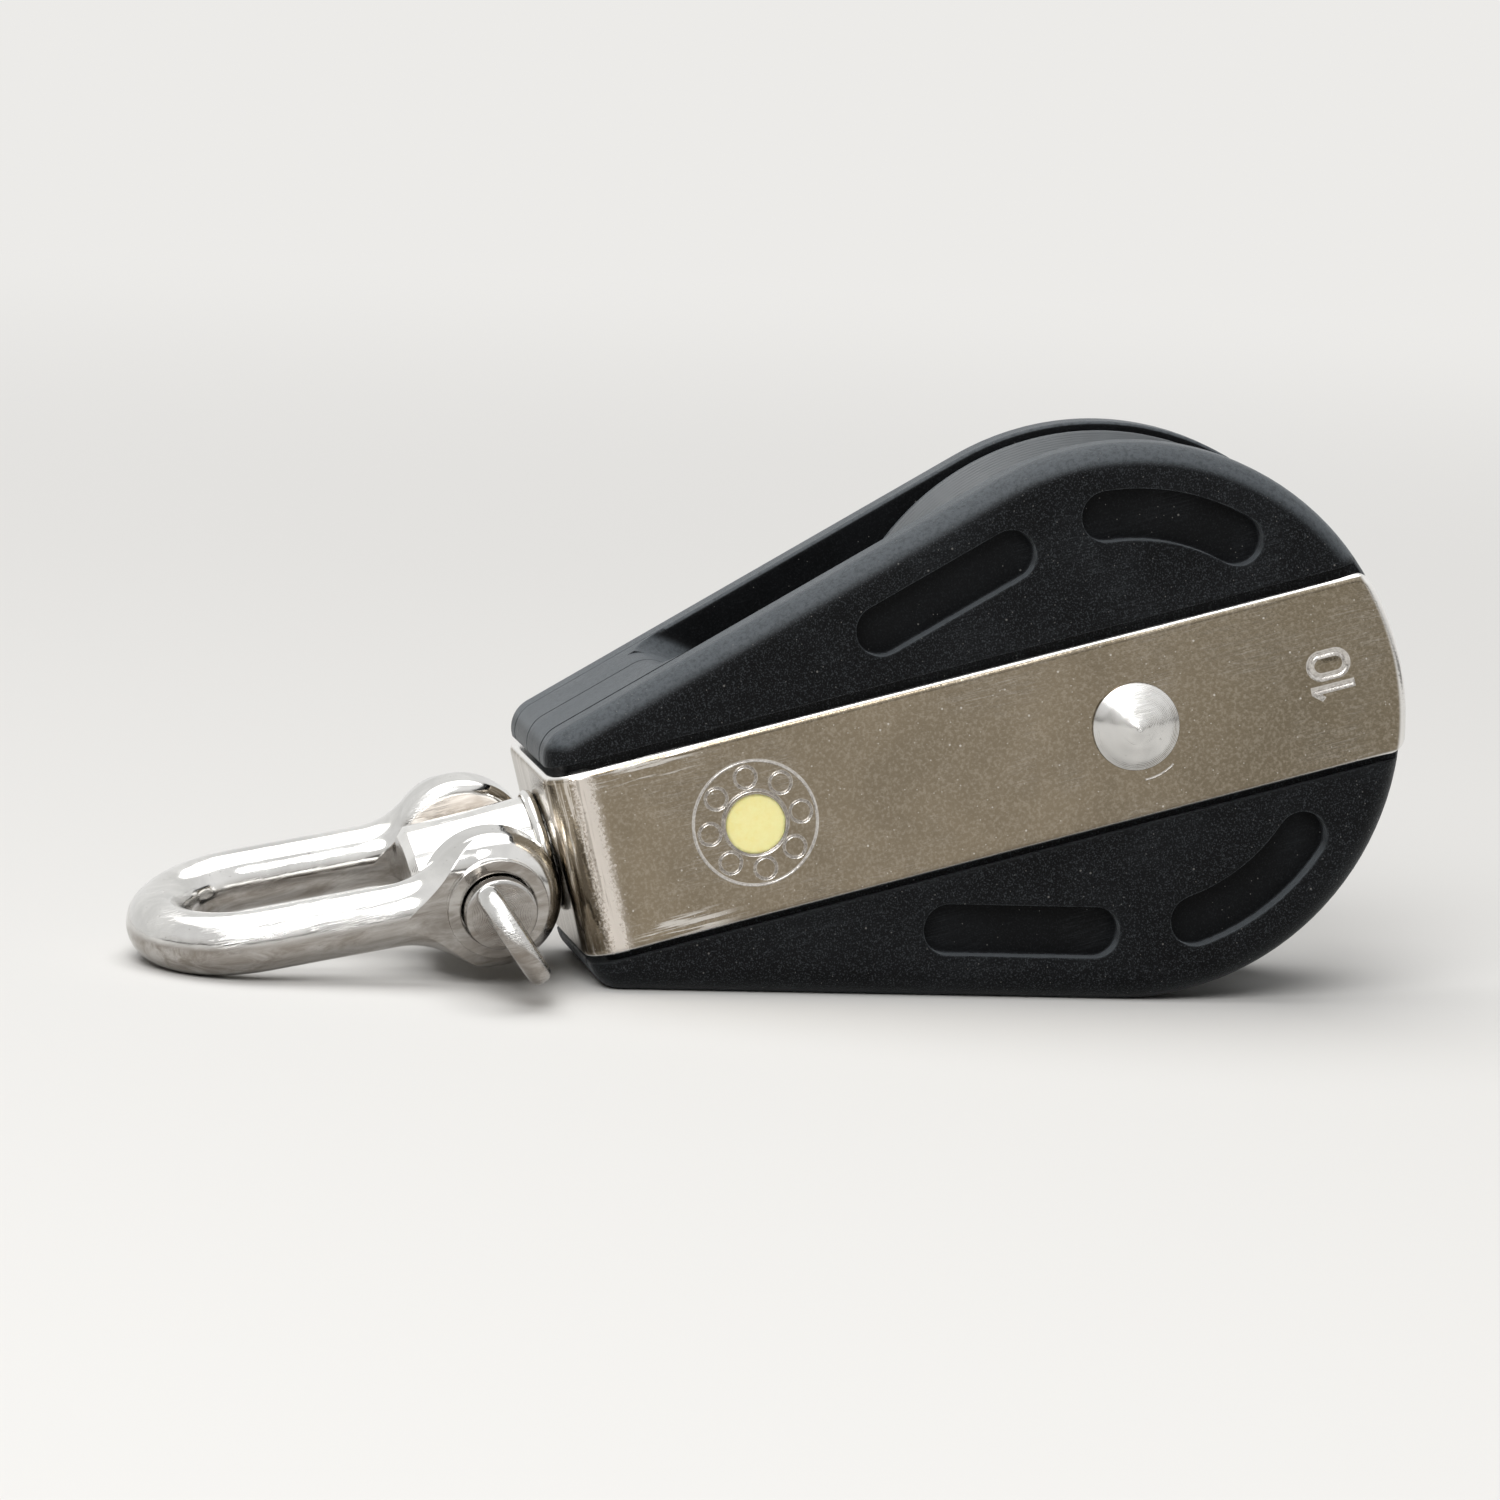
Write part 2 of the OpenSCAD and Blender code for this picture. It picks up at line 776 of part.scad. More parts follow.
module shackle_bow() {
    color("#dcdddf") lay() at_shackle() difference() {
        union() {
            side(true) {
                leg();
                translate([0, 0, eye_out - past]) cylinder(h = boss_h + past, r = boss_r);
            }
            side(false) leg();
            translate([-bow_x, 0, 0]) rotate([0, 0, 90]) rotate_extrude(angle = 180)
                translate([leg_y, 0]) circle(bar_r);
        }
        pin_bore(pin_r + run_gap);
        side(true) translate([0, 0, collar_seat])
            cylinder(h = boss_out, r = pin_collar_r + collar_room);
    }
}

module shackle_pin() {
    shank = collar_seat + eye_out - 0.3;
    color("#dcdddf") lay() at_pin() side(true) difference() {
        union() {
            translate([0, 0, collar_seat - shank]) cylinder(h = shank, r = pin_r);
            rotate_extrude()
                polygon([[0, collar_seat + seat_gap], [pin_collar_r, collar_seat + seat_gap],
                         [pin_collar_r, collar_face - collar_chamfer],
                         [pin_collar_r - collar_chamfer, collar_face], [0, collar_face]]);
            translate([0, 0, collar_seat - past]) cylinder(h = 2 * past, r = pin_r);
            rotate([90, 0, tab_turn]) translate([0, 0, -tab_t / 2]) linear_extrude(tab_t) {
                translate([-tab_root_w / 2, collar_seat + past])
                    square([tab_root_w, tab_eye - collar_seat - past]);
                translate([0, tab_eye]) circle(tab_r);
            }
        }
        rotate([90, 0, tab_turn]) translate([0, tab_eye, 0])
            cylinder(h = 2 * tab_t, d = tab_hole_d, center = true);
    }
}

near_cheek();
far_cheek();
strap();
head_dowels();
near_marker();
far_marker();
axle_rivet();
inner_race();
near_side_washer();
far_side_washer();
sheave();
near_retainer();
far_retainer();
near_ball_row();
far_ball_row();
near_ball_cage();
far_ball_cage();
swivel_post();
swivel_collar();
thrust_washer();
swivel_nut();
swivel_lock_pin();
shackle_bow();
shackle_pin();
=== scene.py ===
"""Dresses the frame of a swivel sailing block.

Gives it its finishes, a strap with rounded edges and stamped marks, a turned pin and a stage.
"""
import json
from math import hypot, pi, radians

import bmesh
import bpy
from mathutils import Matrix, Vector


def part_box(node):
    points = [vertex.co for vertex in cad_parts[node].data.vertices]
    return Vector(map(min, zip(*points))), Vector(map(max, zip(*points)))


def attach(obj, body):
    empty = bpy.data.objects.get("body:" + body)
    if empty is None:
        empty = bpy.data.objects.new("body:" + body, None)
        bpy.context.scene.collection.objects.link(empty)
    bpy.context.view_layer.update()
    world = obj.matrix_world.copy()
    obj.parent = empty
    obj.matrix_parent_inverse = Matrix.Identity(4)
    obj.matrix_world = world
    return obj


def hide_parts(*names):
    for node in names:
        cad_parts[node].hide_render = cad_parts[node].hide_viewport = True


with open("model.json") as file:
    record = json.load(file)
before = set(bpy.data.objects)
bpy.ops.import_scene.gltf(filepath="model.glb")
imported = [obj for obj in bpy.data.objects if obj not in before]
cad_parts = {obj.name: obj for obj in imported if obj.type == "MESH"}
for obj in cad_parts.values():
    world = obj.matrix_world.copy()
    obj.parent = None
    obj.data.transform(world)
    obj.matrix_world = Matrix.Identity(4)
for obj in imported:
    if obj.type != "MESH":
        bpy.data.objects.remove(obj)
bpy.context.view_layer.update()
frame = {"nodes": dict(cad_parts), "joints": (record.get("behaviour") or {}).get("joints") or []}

bl_info = {
    "name": "Swivel sailing block",
    "version": (1, 0, 0),
    "blender": (4, 5, 0),
    "location": "3D View > Sidebar > Sailing block",
    "description": "Finishes, stamped marks and stage for a swivel sailing block",
    "category": "Object",
}

MM = 0.001
JOINTS = {joint["name"]: joint for joint in frame["joints"]}
AXLE = Vector(JOINTS["sheave_spin"]["pos_m"])
ALONG = Vector(JOINTS["swivel_turn"]["axis"])
ACROSS = Vector((0.0, 1.0, 0.0))
RISE = ALONG.cross(ACROSS)
TAPER = ALONG.xz.angle_signed(Vector((1.0, 0.0)))
PIN = Vector(JOINTS["shackle_swing"]["pos_m"])
PIN_AXIS = Vector(JOINTS["shackle_swing"]["axis"])

# The camera that fits the photograph, worked out from the strap's and cheeks' outlines
CAMERA_AT = AXLE + Vector((-0.189033, -0.812405, 0.114364))
CAMERA_RIGHT = Vector((0.982540, -0.178982, 0.050791))
CAMERA_UP = Vector((-0.023778, 0.149950, 0.988408))
LENS_MM = 207.66

# The cheeks' faces along the axle and the edge of the strap's channel, as in the part's source
CHEEK_FACE = 12.4 * MM
CHANNEL_EDGE = (10.0 * MM, 10.7 * MM)

# The shackle pin as in the part's source: shank and collar as (radius, height) in millimetres, the
# round tab with its seizing hole, and the block that joins the tab to the collar
PIN_PROFILE = ((0.0, -11.9), (2.55, -11.9), (3.0, -11.45), (3.0, 10.72), (3.5, 10.72),
               (3.5, 14.2), (3.42, 14.38), (3.25, 14.48), (3.0, 14.5), (0.0, 14.5))
TAB_TURN = radians(-70.0)
TAB_RADIUS = 5.3 * MM
TAB_THICK = 2.3 * MM
TAB_HOLE = 2.0 * MM
TAB_HOLE_ROUNDING = 0.35 * MM
TAB_EYE = 20.4 * MM
TAB_ROOT = (6.2 * MM, 2.2 * MM, 3.6 * MM)
TAB_ROOT_AT = 16.1 * MM

# Where the strap's finish changes: rises from its middle line, reach of its tail from the axle, and
# places along it, which are negative towards the head
LONG_EDGE = (8.6 * MM, 8.85 * MM)
CORNER_EDGE = (6.3 * MM, 7.2 * MM)
TAIL_EDGE = (25.9 * MM, 26.3 * MM)
CORNERS_AT = -47.0 * MM
BEND_AT = -52.2 * MM
FOLD_AT = -54.6 * MM

# Dies for the strap: how far they start outside its face, how far their walls lean in over their
# depth, the bearing mark's rise from the middle line, the digits, and the heading tool's arc
DIE_PAST = 0.1 * MM
DIE_LEAN = 0.8
MARK_RISE = 0.15 * MM
NOUGHT_WIDTH = 3.0 * MM
NOUGHT_AT = 1.15 * MM
ONE_AT = -0.72 * MM
ONE_STEM = (-0.82 * MM, 0.02 * MM)
ONE_FLAG = ((0.02, 0.0), (-0.75, 0.0), (-1.55, -0.95), (-1.2, -1.35), (-0.82, -1.0))
ARC_WIDTH = 0.16 * MM
ARC_DEPTH = 0.03 * MM
ARC_SWEEP = radians(34.0)
ARC_START = radians(-92.0)

# Colours of wear, dirt, relief and painted light, and pairs between which a plain finish wanders
LINT = (0.2, 0.195, 0.185)
BLUE_SHEEN = (0.88, 0.95, 1.0, 1.0)
SHEAVE_EDGE_HIGHLIGHT = (0.11, 0.115, 0.12)
SHEAVE_DUST = (0.25, 0.245, 0.235)
TAIL_SHADE = (0.1, 0.085, 0.055)
PALE_PEEL = (0.62, 0.56, 0.47)
FOLD_DARK_REFLECTION = (0.09, 0.07, 0.05)
FOLD_BRIGHT_REFLECTION = (0.8, 0.75, 0.69)
BEND_REFLECTION = (0.78, 0.72, 0.66)
PIT_GLINT = (0.8, 0.77, 0.72)
SCRAPED_STRIP = (0.85, 0.82, 0.78)
PAINTED_EDGE_HIGHLIGHT = (0.92, 0.91, 0.89)
STEEL_PIT = (0.2, 0.18, 0.15)
UNDERSIDE_REFLECTION = (0.21, 0.18, 0.15)
PLUG_RIM_DARK = (0.25, 0.21, 0.1)
PLUG_YELLOWS = ((0.96, 0.89, 0.43), (0.93, 0.83, 0.34))
BURNISHED = ((0.48, 0.45, 0.42), (0.66, 0.635, 0.6))
CAGE_CREAMS = ((0.72, 0.69, 0.6), (0.82, 0.8, 0.73))

# Depth of the fine relief in steel, and pitches of the rings and bands that a lathe leaves
FINE_BUMP = 0.02 * MM
RING_PITCH = 0.16 * MM
BAND_PITCH = 1.5 * MM

# Lamps as (place, width) in metres, where both look, and the floor: half its width, and the
# distances between which the eye sees it fade to an even level
KEY_LAMP = ((-0.12, 0.2, 1.15), 1.4)
FILL_LAMP = ((-0.4, -0.95, 0.85), 0.8)
LAMP_AIM = (0.0, 0.0, 0.02)
FLOOR_HALF = 6.0
FLOOR_FADE = (0.16, 0.75)

# What metal sees of the room: a dark line low in front, a pale wall, white overhead and behind
ROOM_LINE = (0.05, 0.045, 0.04)
ROOM_WALL = (0.8, 0.79, 0.77)
ROOM_TOP = (1.0, 1.0, 1.0)
ROOM_BACK = (0.95, 0.95, 0.94)

# Points closer than this are merged: in a new form, in the pressed strap, in a copy of the CAD
WELD = 1e-7
PRESSED_WELD = 1e-6
CAD_WELD = 2e-6

# Shading: faces larger than this stay flat, and edges steeper than this stay sharp
FLAT_FACE = 4.0 * MM ** 2
SHARP_EDGE = radians(35.0)


# Sizes and colours that a user may change


class CasingFinish(bpy.types.PropertyGroup):
    """Looks of the moulded cheeks and the sheave."""

    casing_colour: bpy.props.FloatVectorProperty(
        name="Casing colour", description="Colour of the moulded cheeks between their worn edges",
        subtype="COLOR", default=(0.0024, 0.0027, 0.0032),
    )
    # Also the colour of the cheeks' painted highlights: on their edges, on what faces upwards, and
    # their fibre glints
    wear_and_highlight_colour: bpy.props.FloatVectorProperty(
        name="Wear and highlight colour", description="Colour that handling brings out on the cheeks' edges",
        subtype="COLOR", default=(0.088, 0.098, 0.107),
    )
    sheave_colour: bpy.props.FloatVectorProperty(
        name="Sheave colour", description="Colour of the sheave and its retainer rings",
        subtype="COLOR", default=(0.098, 0.107, 0.113),
    )
    grain: bpy.props.FloatProperty(
        name="Grain", description="Width of the moulded grain",
        subtype="DISTANCE", default=0.28 * MM,
    )
    dust: bpy.props.FloatProperty(
        name="Dust", description="Share of the cheeks' faces with pale dust specks",
        default=0.07,
    )


class SteelFinish(bpy.types.PropertyGroup):
    """Looks of the strap, the shackle and the swivel."""

    # The brown tint and darkness of this colour are a painted reflection of brown surroundings
    strap_colour_and_reflection: bpy.props.FloatVectorProperty(
        name="Strap colour", description="Colour of the polished strip",
        subtype="COLOR", default=(0.243, 0.201, 0.144),
    )
    steel_colour: bpy.props.FloatVectorProperty(
        name="Steel colour", description="Colour of the forged and turned steel",
        subtype="COLOR", default=(0.76, 0.75, 0.73),
    )
    scratch_width: bpy.props.FloatProperty(
        name="Scratch width", description="Width of a handling scratch",
        subtype="DISTANCE", default=0.05 * MM,
    )
    edge_softness: bpy.props.FloatProperty(
        name="Edge softness", description="Radius that the light sees on a sharp edge",
        subtype="DISTANCE", default=0.22 * MM,
    )
    strap_rounding: bpy.props.FloatProperty(
        name="Strap rounding", description="Rounding of the strap's outer edges",
        subtype="DISTANCE", default=0.75 * MM,
    )
    bend_radius: bpy.props.FloatProperty(
        name="Bend radius", description="Outer radius of the strap's two bends",
        subtype="DISTANCE", default=3.5 * MM,
    )
    tab_rounding: bpy.props.FloatProperty(
        name="Tab rounding", description="Rounding of the rim of the shackle pin's tab",
        subtype="DISTANCE", default=0.9 * MM,
    )


class StampedMarks(bpy.types.PropertyGroup):
    """Sizes of the marks in the strap's near face."""

    marker_u: bpy.props.FloatProperty(
        name="Marker distance", description="Distance of the marker from the axle",
        subtype="DISTANCE", default=37.9 * MM,
    )
    ring_radius: bpy.props.FloatProperty(
        name="Ring radius", description="Radius of the outer ring of the bearing mark",
        subtype="DISTANCE", default=6.0 * MM,
    )
    ball_circle: bpy.props.FloatProperty(
        name="Ball circle", description="Radius on which the mark's small circles stand",
        subtype="DISTANCE", default=4.5 * MM,
    )
    ball_radius: bpy.props.FloatProperty(
        name="Small circle", description="Radius of one small circle",
        subtype="DISTANCE", default=1.05 * MM,
    )
    ball_count: bpy.props.IntProperty(
        name="Small circles", description="How many small circles the mark has",
        default=8,
    )
    plug_ring: bpy.props.FloatProperty(
        name="Plug ring", description="Radius of the ring close round the marker",
        subtype="DISTANCE", default=3.15 * MM,
    )
    number_u: bpy.props.FloatProperty(
        name="Number distance", description="Distance of the rope size from the axle",
        subtype="DISTANCE", default=19.65 * MM,
    )
    number_height: bpy.props.FloatProperty(
        name="Number height", description="Height of the digits",
        subtype="DISTANCE", default=4.4 * MM,
    )
    line_width: bpy.props.FloatProperty(
        name="Line width", description="Width of a thin stamped line",
        subtype="DISTANCE", default=0.28 * MM,
    )
    stroke_width: bpy.props.FloatProperty(
        name="Stroke width", description="Width of a digit's stroke",
        subtype="DISTANCE", default=0.8 * MM,
    )
    depth: bpy.props.FloatProperty(
        name="Stamp depth", description="Depth of the stamped lines",
        subtype="DISTANCE", default=0.15 * MM,
    )
    axle_ring: bpy.props.FloatProperty(
        name="Axle ring", description="Radius of the tool mark round the axle's head",
        subtype="DISTANCE", default=5.3 * MM,
    )


class StudioLight(bpy.types.PropertyGroup):
    """Floor, lamps and world."""

    floor_colour: bpy.props.FloatVectorProperty(
        name="Floor colour", description="Colour of the plain floor",
        subtype="COLOR", default=(0.74, 0.73, 0.71),
    )
    far_colour: bpy.props.FloatVectorProperty(
        name="Far colour", description="Even colour of the floor and backdrop away from the part",
        subtype="COLOR", default=(0.84, 0.83, 0.81),
    )
    world_strength: bpy.props.FloatProperty(
        name="World strength", description="Strength of the even light from all round",
        default=0.16,
    )
    key_power: bpy.props.FloatProperty(
        name="Key power", description="Power of the broad lamp overhead",
        subtype="POWER", default=11.5,
    )
    fill_power: bpy.props.FloatProperty(
        name="Fill power", description="Power of the lamp at the front left",
        subtype="POWER", default=11.5,
    )


# Places on the block


def strap_face(side, u=0.0, v=0.0):
    """Frame on the strap's near face (side -1) or far face (side 1), with Z out of the strap.

    X runs along the block, towards its tail on the near face and towards its head on the far one.
    """
    low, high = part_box("strap")
    place = AXLE + ALONG * u + RISE * v
    place.y = high[1] if side > 0 else low[1]
    axes = Matrix((ALONG * -side, RISE, ACROSS * side))
    return Matrix.Translation(place) @ axes.transposed().to_4x4()


# Shader helpers


def link(tree, source, target):
    tree.links.new(source, target)


def set_inputs(made, **inputs):
    """Sets a node's sockets; an underscore stands for a space in a socket's name."""
    for name, value in inputs.items():
        made.inputs[name.replace("_", " ")].default_value = value
    return made


def shader_node(tree, kind, **inputs):
    return set_inputs(tree.nodes.new(kind), **inputs)


def math_node(tree, operation, *values):
    """A Math node whose inputs are sockets or numbers; returns its output."""
    made = tree.nodes.new("ShaderNodeMath")
    made.operation = operation
    for socket, value in zip(made.inputs, values):
        if isinstance(value, (int, float)):
            socket.default_value = value
        else:
            link(tree, value, socket)
    return made.outputs[0]


def times(tree, first, second):
    return math_node(tree, "MULTIPLY", first, second)


def strongest(tree, first, *others):
    """The highest of several masks at each place."""
    for other in others:
        first = math_node(tree, "MAXIMUM", first, other)
    return first


def noise(tree, coords, size, detail=3.0, roughness=0.55, distortion=0.0):
    """Noise whose features are about size metres wide."""
    made = shader_node(tree, "ShaderNodeTexNoise", Scale=1.0 / size, Detail=detail,
                       Roughness=roughness, Distortion=distortion)
    link(tree, coords, made.inputs["Vector"])
    return made.outputs[0]


def ramp(tree, value, low, high, to_low=0.0, to_high=1.0):
    made = tree.nodes.new("ShaderNodeMapRange")
    made.interpolation_type = "SMOOTHSTEP"
    link(tree, value, made.inputs["Value"])
    set_inputs(made, From_Min=low, From_Max=high, To_Min=to_low, To_Max=to_high)
    return made.outputs["Result"]


def band(tree, value, centre, inner, outer):
    """1 where a value is within inner of the centre, fading to 0 at outer."""
    off = math_node(tree, "ABSOLUTE", math_node(tree, "SUBTRACT", value, centre))
    return ramp(tree, off, inner, outer, 1.0, 0.0)


def mix_colour(tree, factor, first, second):
    """Mixes two colours, each a socket or a tuple."""
    made = tree.nodes.new("ShaderNodeMix")
    made.data_type = "RGBA"
    made.clamp_factor = True
    link(tree, factor, made.inputs["Factor"])
    for socket, value in ((made.inputs[6], first), (made.inputs[7], second)):
        if isinstance(value, bpy.types.NodeSocket):
            link(tree, value, socket)
        else:
            socket.default_value = (*value, 1.0)
    return made.outputs[2]


def tint(tree, base, mask, share, colour):
    """Lays a colour over base, as strongly as mask times share."""
    return mix_colour(tree, times(tree, mask, share), base, colour)


def cloudy(tree, cloud, colour, dark, light):
    """A colour that wanders between a darker and a lighter shade of itself."""
    shades = [tuple(channel * shade for channel in colour) for shade in (dark, light)]
    return mix_colour(tree, ramp(tree, cloud, 0.3, 0.7), *shades)


def object_coords(tree):
    return tree.nodes.new("ShaderNodeTexCoord").outputs["Object"]


def mapping(tree, coords, kind="POINT", **inputs):
    """Moves, turns or stretches coordinates."""
    made = tree.nodes.new("ShaderNodeMapping")
    made.vector_type = kind
    set_inputs(made, **inputs)
    link(tree, coords, made.inputs["Vector"])
    return made.outputs["Vector"]


def split_axes(tree, vector):
    made = tree.nodes.new("ShaderNodeSeparateXYZ")
    link(tree, vector, made.inputs["Vector"])
    return made.outputs


def facing_up(tree):
    """How far a surface faces upwards, from -1 to 1."""
    return split_axes(tree, tree.nodes.new("ShaderNodeNewGeometry").outputs["Normal"])["Z"]


def block_coords(tree):
    """Object coordinates from the axle, with X along the block and Y along the axle."""
    return mapping(tree, object_coords(tree), "TEXTURE", Location=AXLE, Rotation=(0.0, -TAPER, 0.0))


def vector_length(tree, vector):
    made = tree.nodes.new("ShaderNodeVectorMath")
    made.operation = "LENGTH"
    link(tree, vector, made.inputs[0])
    return made.outputs["Value"]


def flat_length(tree, coords):
    """Distance from the Y axis of the coordinates."""
    flat = tree.nodes.new("ShaderNodeVectorMath")
    flat.operation = "MULTIPLY"
    flat.inputs[1].default_value = (1.0, 0.0, 1.0)
    link(tree, coords, flat.inputs[0])
    return vector_length(tree, flat.outputs["Vector"])


def group(name, inputs, outputs):
    """An empty shader node group with its sockets; returns the tree, its input and its output."""
    tree = bpy.data.node_groups.new(name, "ShaderNodeTree")
    for label, kind, default in inputs:
        socket = tree.interface.new_socket(label, in_out="INPUT", socket_type=kind)
        if default is not None:
            socket.default_value = default
    for label, kind in outputs:
        tree.interface.new_socket(label, in_out="OUTPUT", socket_type=kind)
    return tree, tree.nodes.new("NodeGroupInput"), tree.nodes.new("NodeGroupOutput")


def use_group(tree, name, coords=None, **inputs):
    made = tree.nodes.new("ShaderNodeGroup")
    made.node_tree = bpy.data.node_groups[name]
    if coords is not None:
        link(tree, coords, made.inputs["Coords"])
    return set_inputs(made, **inputs)


def make_edge_group():
    """Softened normal of sharp edges, and a mask of the edges, where painted edge highlights and
    wear go.
    """
    tree, start, end = group(
        "soft_edges", [("Radius", "NodeSocketFloat", 0.3 * MM)],
        [("Normal", "NodeSocketVector"), ("Edge light and wear", "NodeSocketFloat")])
    soft = tree.nodes.new("ShaderNodeBevel")
    soft.samples = 6
    link(tree, start.outputs["Radius"], soft.inputs["Radius"])
    geometry = tree.nodes.new("ShaderNodeNewGeometry")
    dot = tree.nodes.new("ShaderNodeVectorMath")
    dot.operation = "DOT_PRODUCT"
    link(tree, soft.outputs["Normal"], dot.inputs[0])
    link(tree, geometry.outputs["Normal"], dot.inputs[1])
    edge_light_and_wear = ramp(tree, math_node(tree, "SUBTRACT", 1.0, dot.outputs["Value"]), 0.01, 0.2)
    link(tree, soft.outputs["Normal"], end.inputs["Normal"])
    link(tree, edge_light_and_wear, end.inputs["Edge light and wear"])


def make_scratch_group():
    """Fine straight scratches in three directions, as lines from 0 to 1."""
    tree, start, end = group(
        "fine_scratches",
        [("Coords", "NodeSocketVector", None), ("Width", "NodeSocketFloat", 0.05 * MM),
         ("Amount", "NodeSocketFloat", 0.5)],
        [("Lines", "NodeSocketFloat")])
    coords = start.outputs["Coords"]
    # A line is about 0.22 of a noise cell wide
    scale = math_node(tree, "DIVIDE", 0.22, start.outputs["Width"])
    threads = []
    for turn, spread in ((0.25, 46.0), (-0.7, 60.0), (1.35, 38.0)):
        streaks = mapping(tree, coords, Rotation=(0.0, turn, 0.0),
                          Scale=(1.0 / spread, 1.0 / spread, 1.0))
        lines = shader_node(tree, "ShaderNodeTexNoise", Detail=1.5)
        link(tree, streaks, lines.inputs["Vector"])
        link(tree, scale, lines.inputs["Scale"])
        threads.append(band(tree, lines.outputs[0], 0.5, 0.004, 0.018))
    patches = ramp(tree, noise(tree, coords, 9.0 * MM, 2.0), 0.47, 0.66)
    shown = times(tree, strongest(tree, *threads), patches)
    link(tree, times(tree, shown, start.outputs["Amount"]), end.inputs["Lines"])


def make_dust_group():
    """Scattered pale specks of two sizes, from 0 to 1."""
    tree, start, end = group(
        "dust_specks",
        [("Coords", "NodeSocketVector", None), ("Share", "NodeSocketFloat", 0.15)],
        [("Specks", "NodeSocketFloat")])
    layers = []
    for size, reach in ((0.9 * MM, 0.15), (0.38 * MM, 0.2)):
        cells = shader_node(tree, "ShaderNodeTexVoronoi", Scale=1.0 / size, Randomness=1.0)
        link(tree, start.outputs["Coords"], cells.inputs["Vector"])
        dots = ramp(tree, cells.outputs["Distance"], reach * 0.5, reach, 1.0, 0.0)
        # Each cell's colour is its lot: only the share with the lowest lots keeps a speck
        lot = tree.nodes.new("ShaderNodeSeparateColor")
        link(tree, cells.outputs["Color"], lot.inputs["Color"])
        chosen = math_node(tree, "LESS_THAN", lot.outputs["Red"], start.outputs["Share"])
        layers.append(times(tree, dots, chosen))
    link(tree, strongest(tree, *layers), end.inputs["Specks"])


def make_turned_group():
    """Fine rings that a lathe leaves about the Y axis of the coordinates, as a height."""
    tree, start, end = group(
        "turned_rings",
        [("Coords", "NodeSocketVector", None), ("Pitch", "NodeSocketFloat", 0.18 * MM)],
        [("Height", "NodeSocketFloat")])
    coords = start.outputs["Coords"]
    turns = math_node(tree, "DIVIDE", flat_length(tree, coords), start.outputs["Pitch"])
    wave = math_node(tree, "SINE", times(tree, turns, 2.0 * pi))
    link(tree, times(tree, wave, noise(tree, coords, 1.2 * MM, 2.0)), end.inputs["Height"])


def make_groups():
    make_edge_group()
    make_scratch_group()
    make_dust_group()
    make_turned_group()


def new_finish(name):
    """A material with one Principled shader; returns the material, its tree and the shader."""
    material = bpy.data.materials.new(name)
    material.use_nodes = True
    tree = material.node_tree
    shader = next(n for n in tree.nodes if n.type == "BSDF_PRINCIPLED")
    return material, tree, shader


def bump(tree, height, distance, normal=None):
    made = shader_node(tree, "ShaderNodeBump", Distance=distance)
    link(tree, height, made.inputs["Height"])
    if normal is not None:
        link(tree, normal, made.inputs["Normal"])
    return made.outputs["Normal"]


def dress(tree, shader, base, rough, normal):
    """Feeds a finish's colour, roughness and normal to its shader."""
    for name, source in (("Base Color", base), ("Roughness", rough), ("Normal", normal)):
        link(tree, source, shader.inputs[name])


def casing_finish():
    """Black fibre-filled nylon: fine moulded grain, dust, edges paled by handling and a painted
    highlight, a painted highlight on upward faces and painted fibre glints.
    """
    casing = bpy.context.scene.casing_finish
    material, tree, shader = new_finish("moulded_nylon")
    coords = block_coords(tree)
    axes = split_axes(tree, coords)
    edges = use_group(tree, "soft_edges", Radius=0.3 * MM)
    grain = noise(tree, coords, casing.grain, 3.0, 0.75)
    flow = noise(tree, coords, 9.0 * MM, 3.0, 0.5, 0.6)
    base = cloudy(tree, flow, casing.casing_colour, 0.7, 1.5)
    # Painted glints: the fibre in the nylon glints on the outer faces, and less in the pockets and
    # inside
    face = ramp(tree, math_node(tree, "ABSOLUTE", axes["Y"]),
                CHEEK_FACE - 1.6 * MM, CHEEK_FACE - 0.8 * MM, 0.25, 1.0)
    fibre_glints = ramp(tree, noise(tree, coords, 0.15 * MM, 2.0, 0.6), 0.5, 0.72, 0.0, 0.4)
    base = tint(tree, base, fibre_glints, face, casing.wear_and_highlight_colour)
    # Painted highlight: what faces upwards is paled, standing in for the light from overhead. The
    # strap shields the edges of its channel
    bare = ramp(tree, math_node(tree, "ABSOLUTE", axes["Z"]), *CHANNEL_EDGE, 0.12, 1.0)
    highlight_patches = ramp(tree, noise(tree, coords, 0.45 * MM, 4.0, 0.8), 0.3, 0.6, 0.55, 1.0)
    upward_highlight = times(tree, ramp(tree, facing_up(tree), 0.18, 0.55), highlight_patches)
    base = tint(tree, base, upward_highlight, bare, casing.wear_and_highlight_colour)
    # Painted edge highlight, partly wear: the edges pale in scuffed patches
    scuffs = ramp(tree, noise(tree, coords, 0.7 * MM, 4.0, 0.75), 0.36, 0.6, 0.15, 1.0)
    edge_light_and_wear = times(tree, times(tree, edges.outputs["Edge light and wear"], bare), scuffs)
    base = tint(tree, base, edge_light_and_wear, 0.5, casing.wear_and_highlight_colour)
    specks = use_group(tree, "dust_specks", coords, Share=casing.dust).outputs["Specks"]
    base = tint(tree, base, specks, 0.6, LINT)
    lines = use_group(tree, "fine_scratches", coords, Width=0.06 * MM, Amount=0.1)
    base = mix_colour(tree, lines.outputs["Lines"], base, casing.wear_and_highlight_colour)
    rough = math_node(tree, "ADD", ramp(tree, flow, 0.3, 0.7, 0.34, 0.42), times(tree, grain, 0.12))
    height = math_node(tree, "ADD", grain, times(tree, specks, 0.35))
    dress(tree, shader, base, rough, bump(tree, height, 0.06 * MM, edges.outputs["Normal"]))
    set_inputs(shader, Specular_IOR_Level=0.09, Sheen_Weight=0.16, Sheen_Roughness=0.4,
               Sheen_Tint=BLUE_SHEEN)
    return material


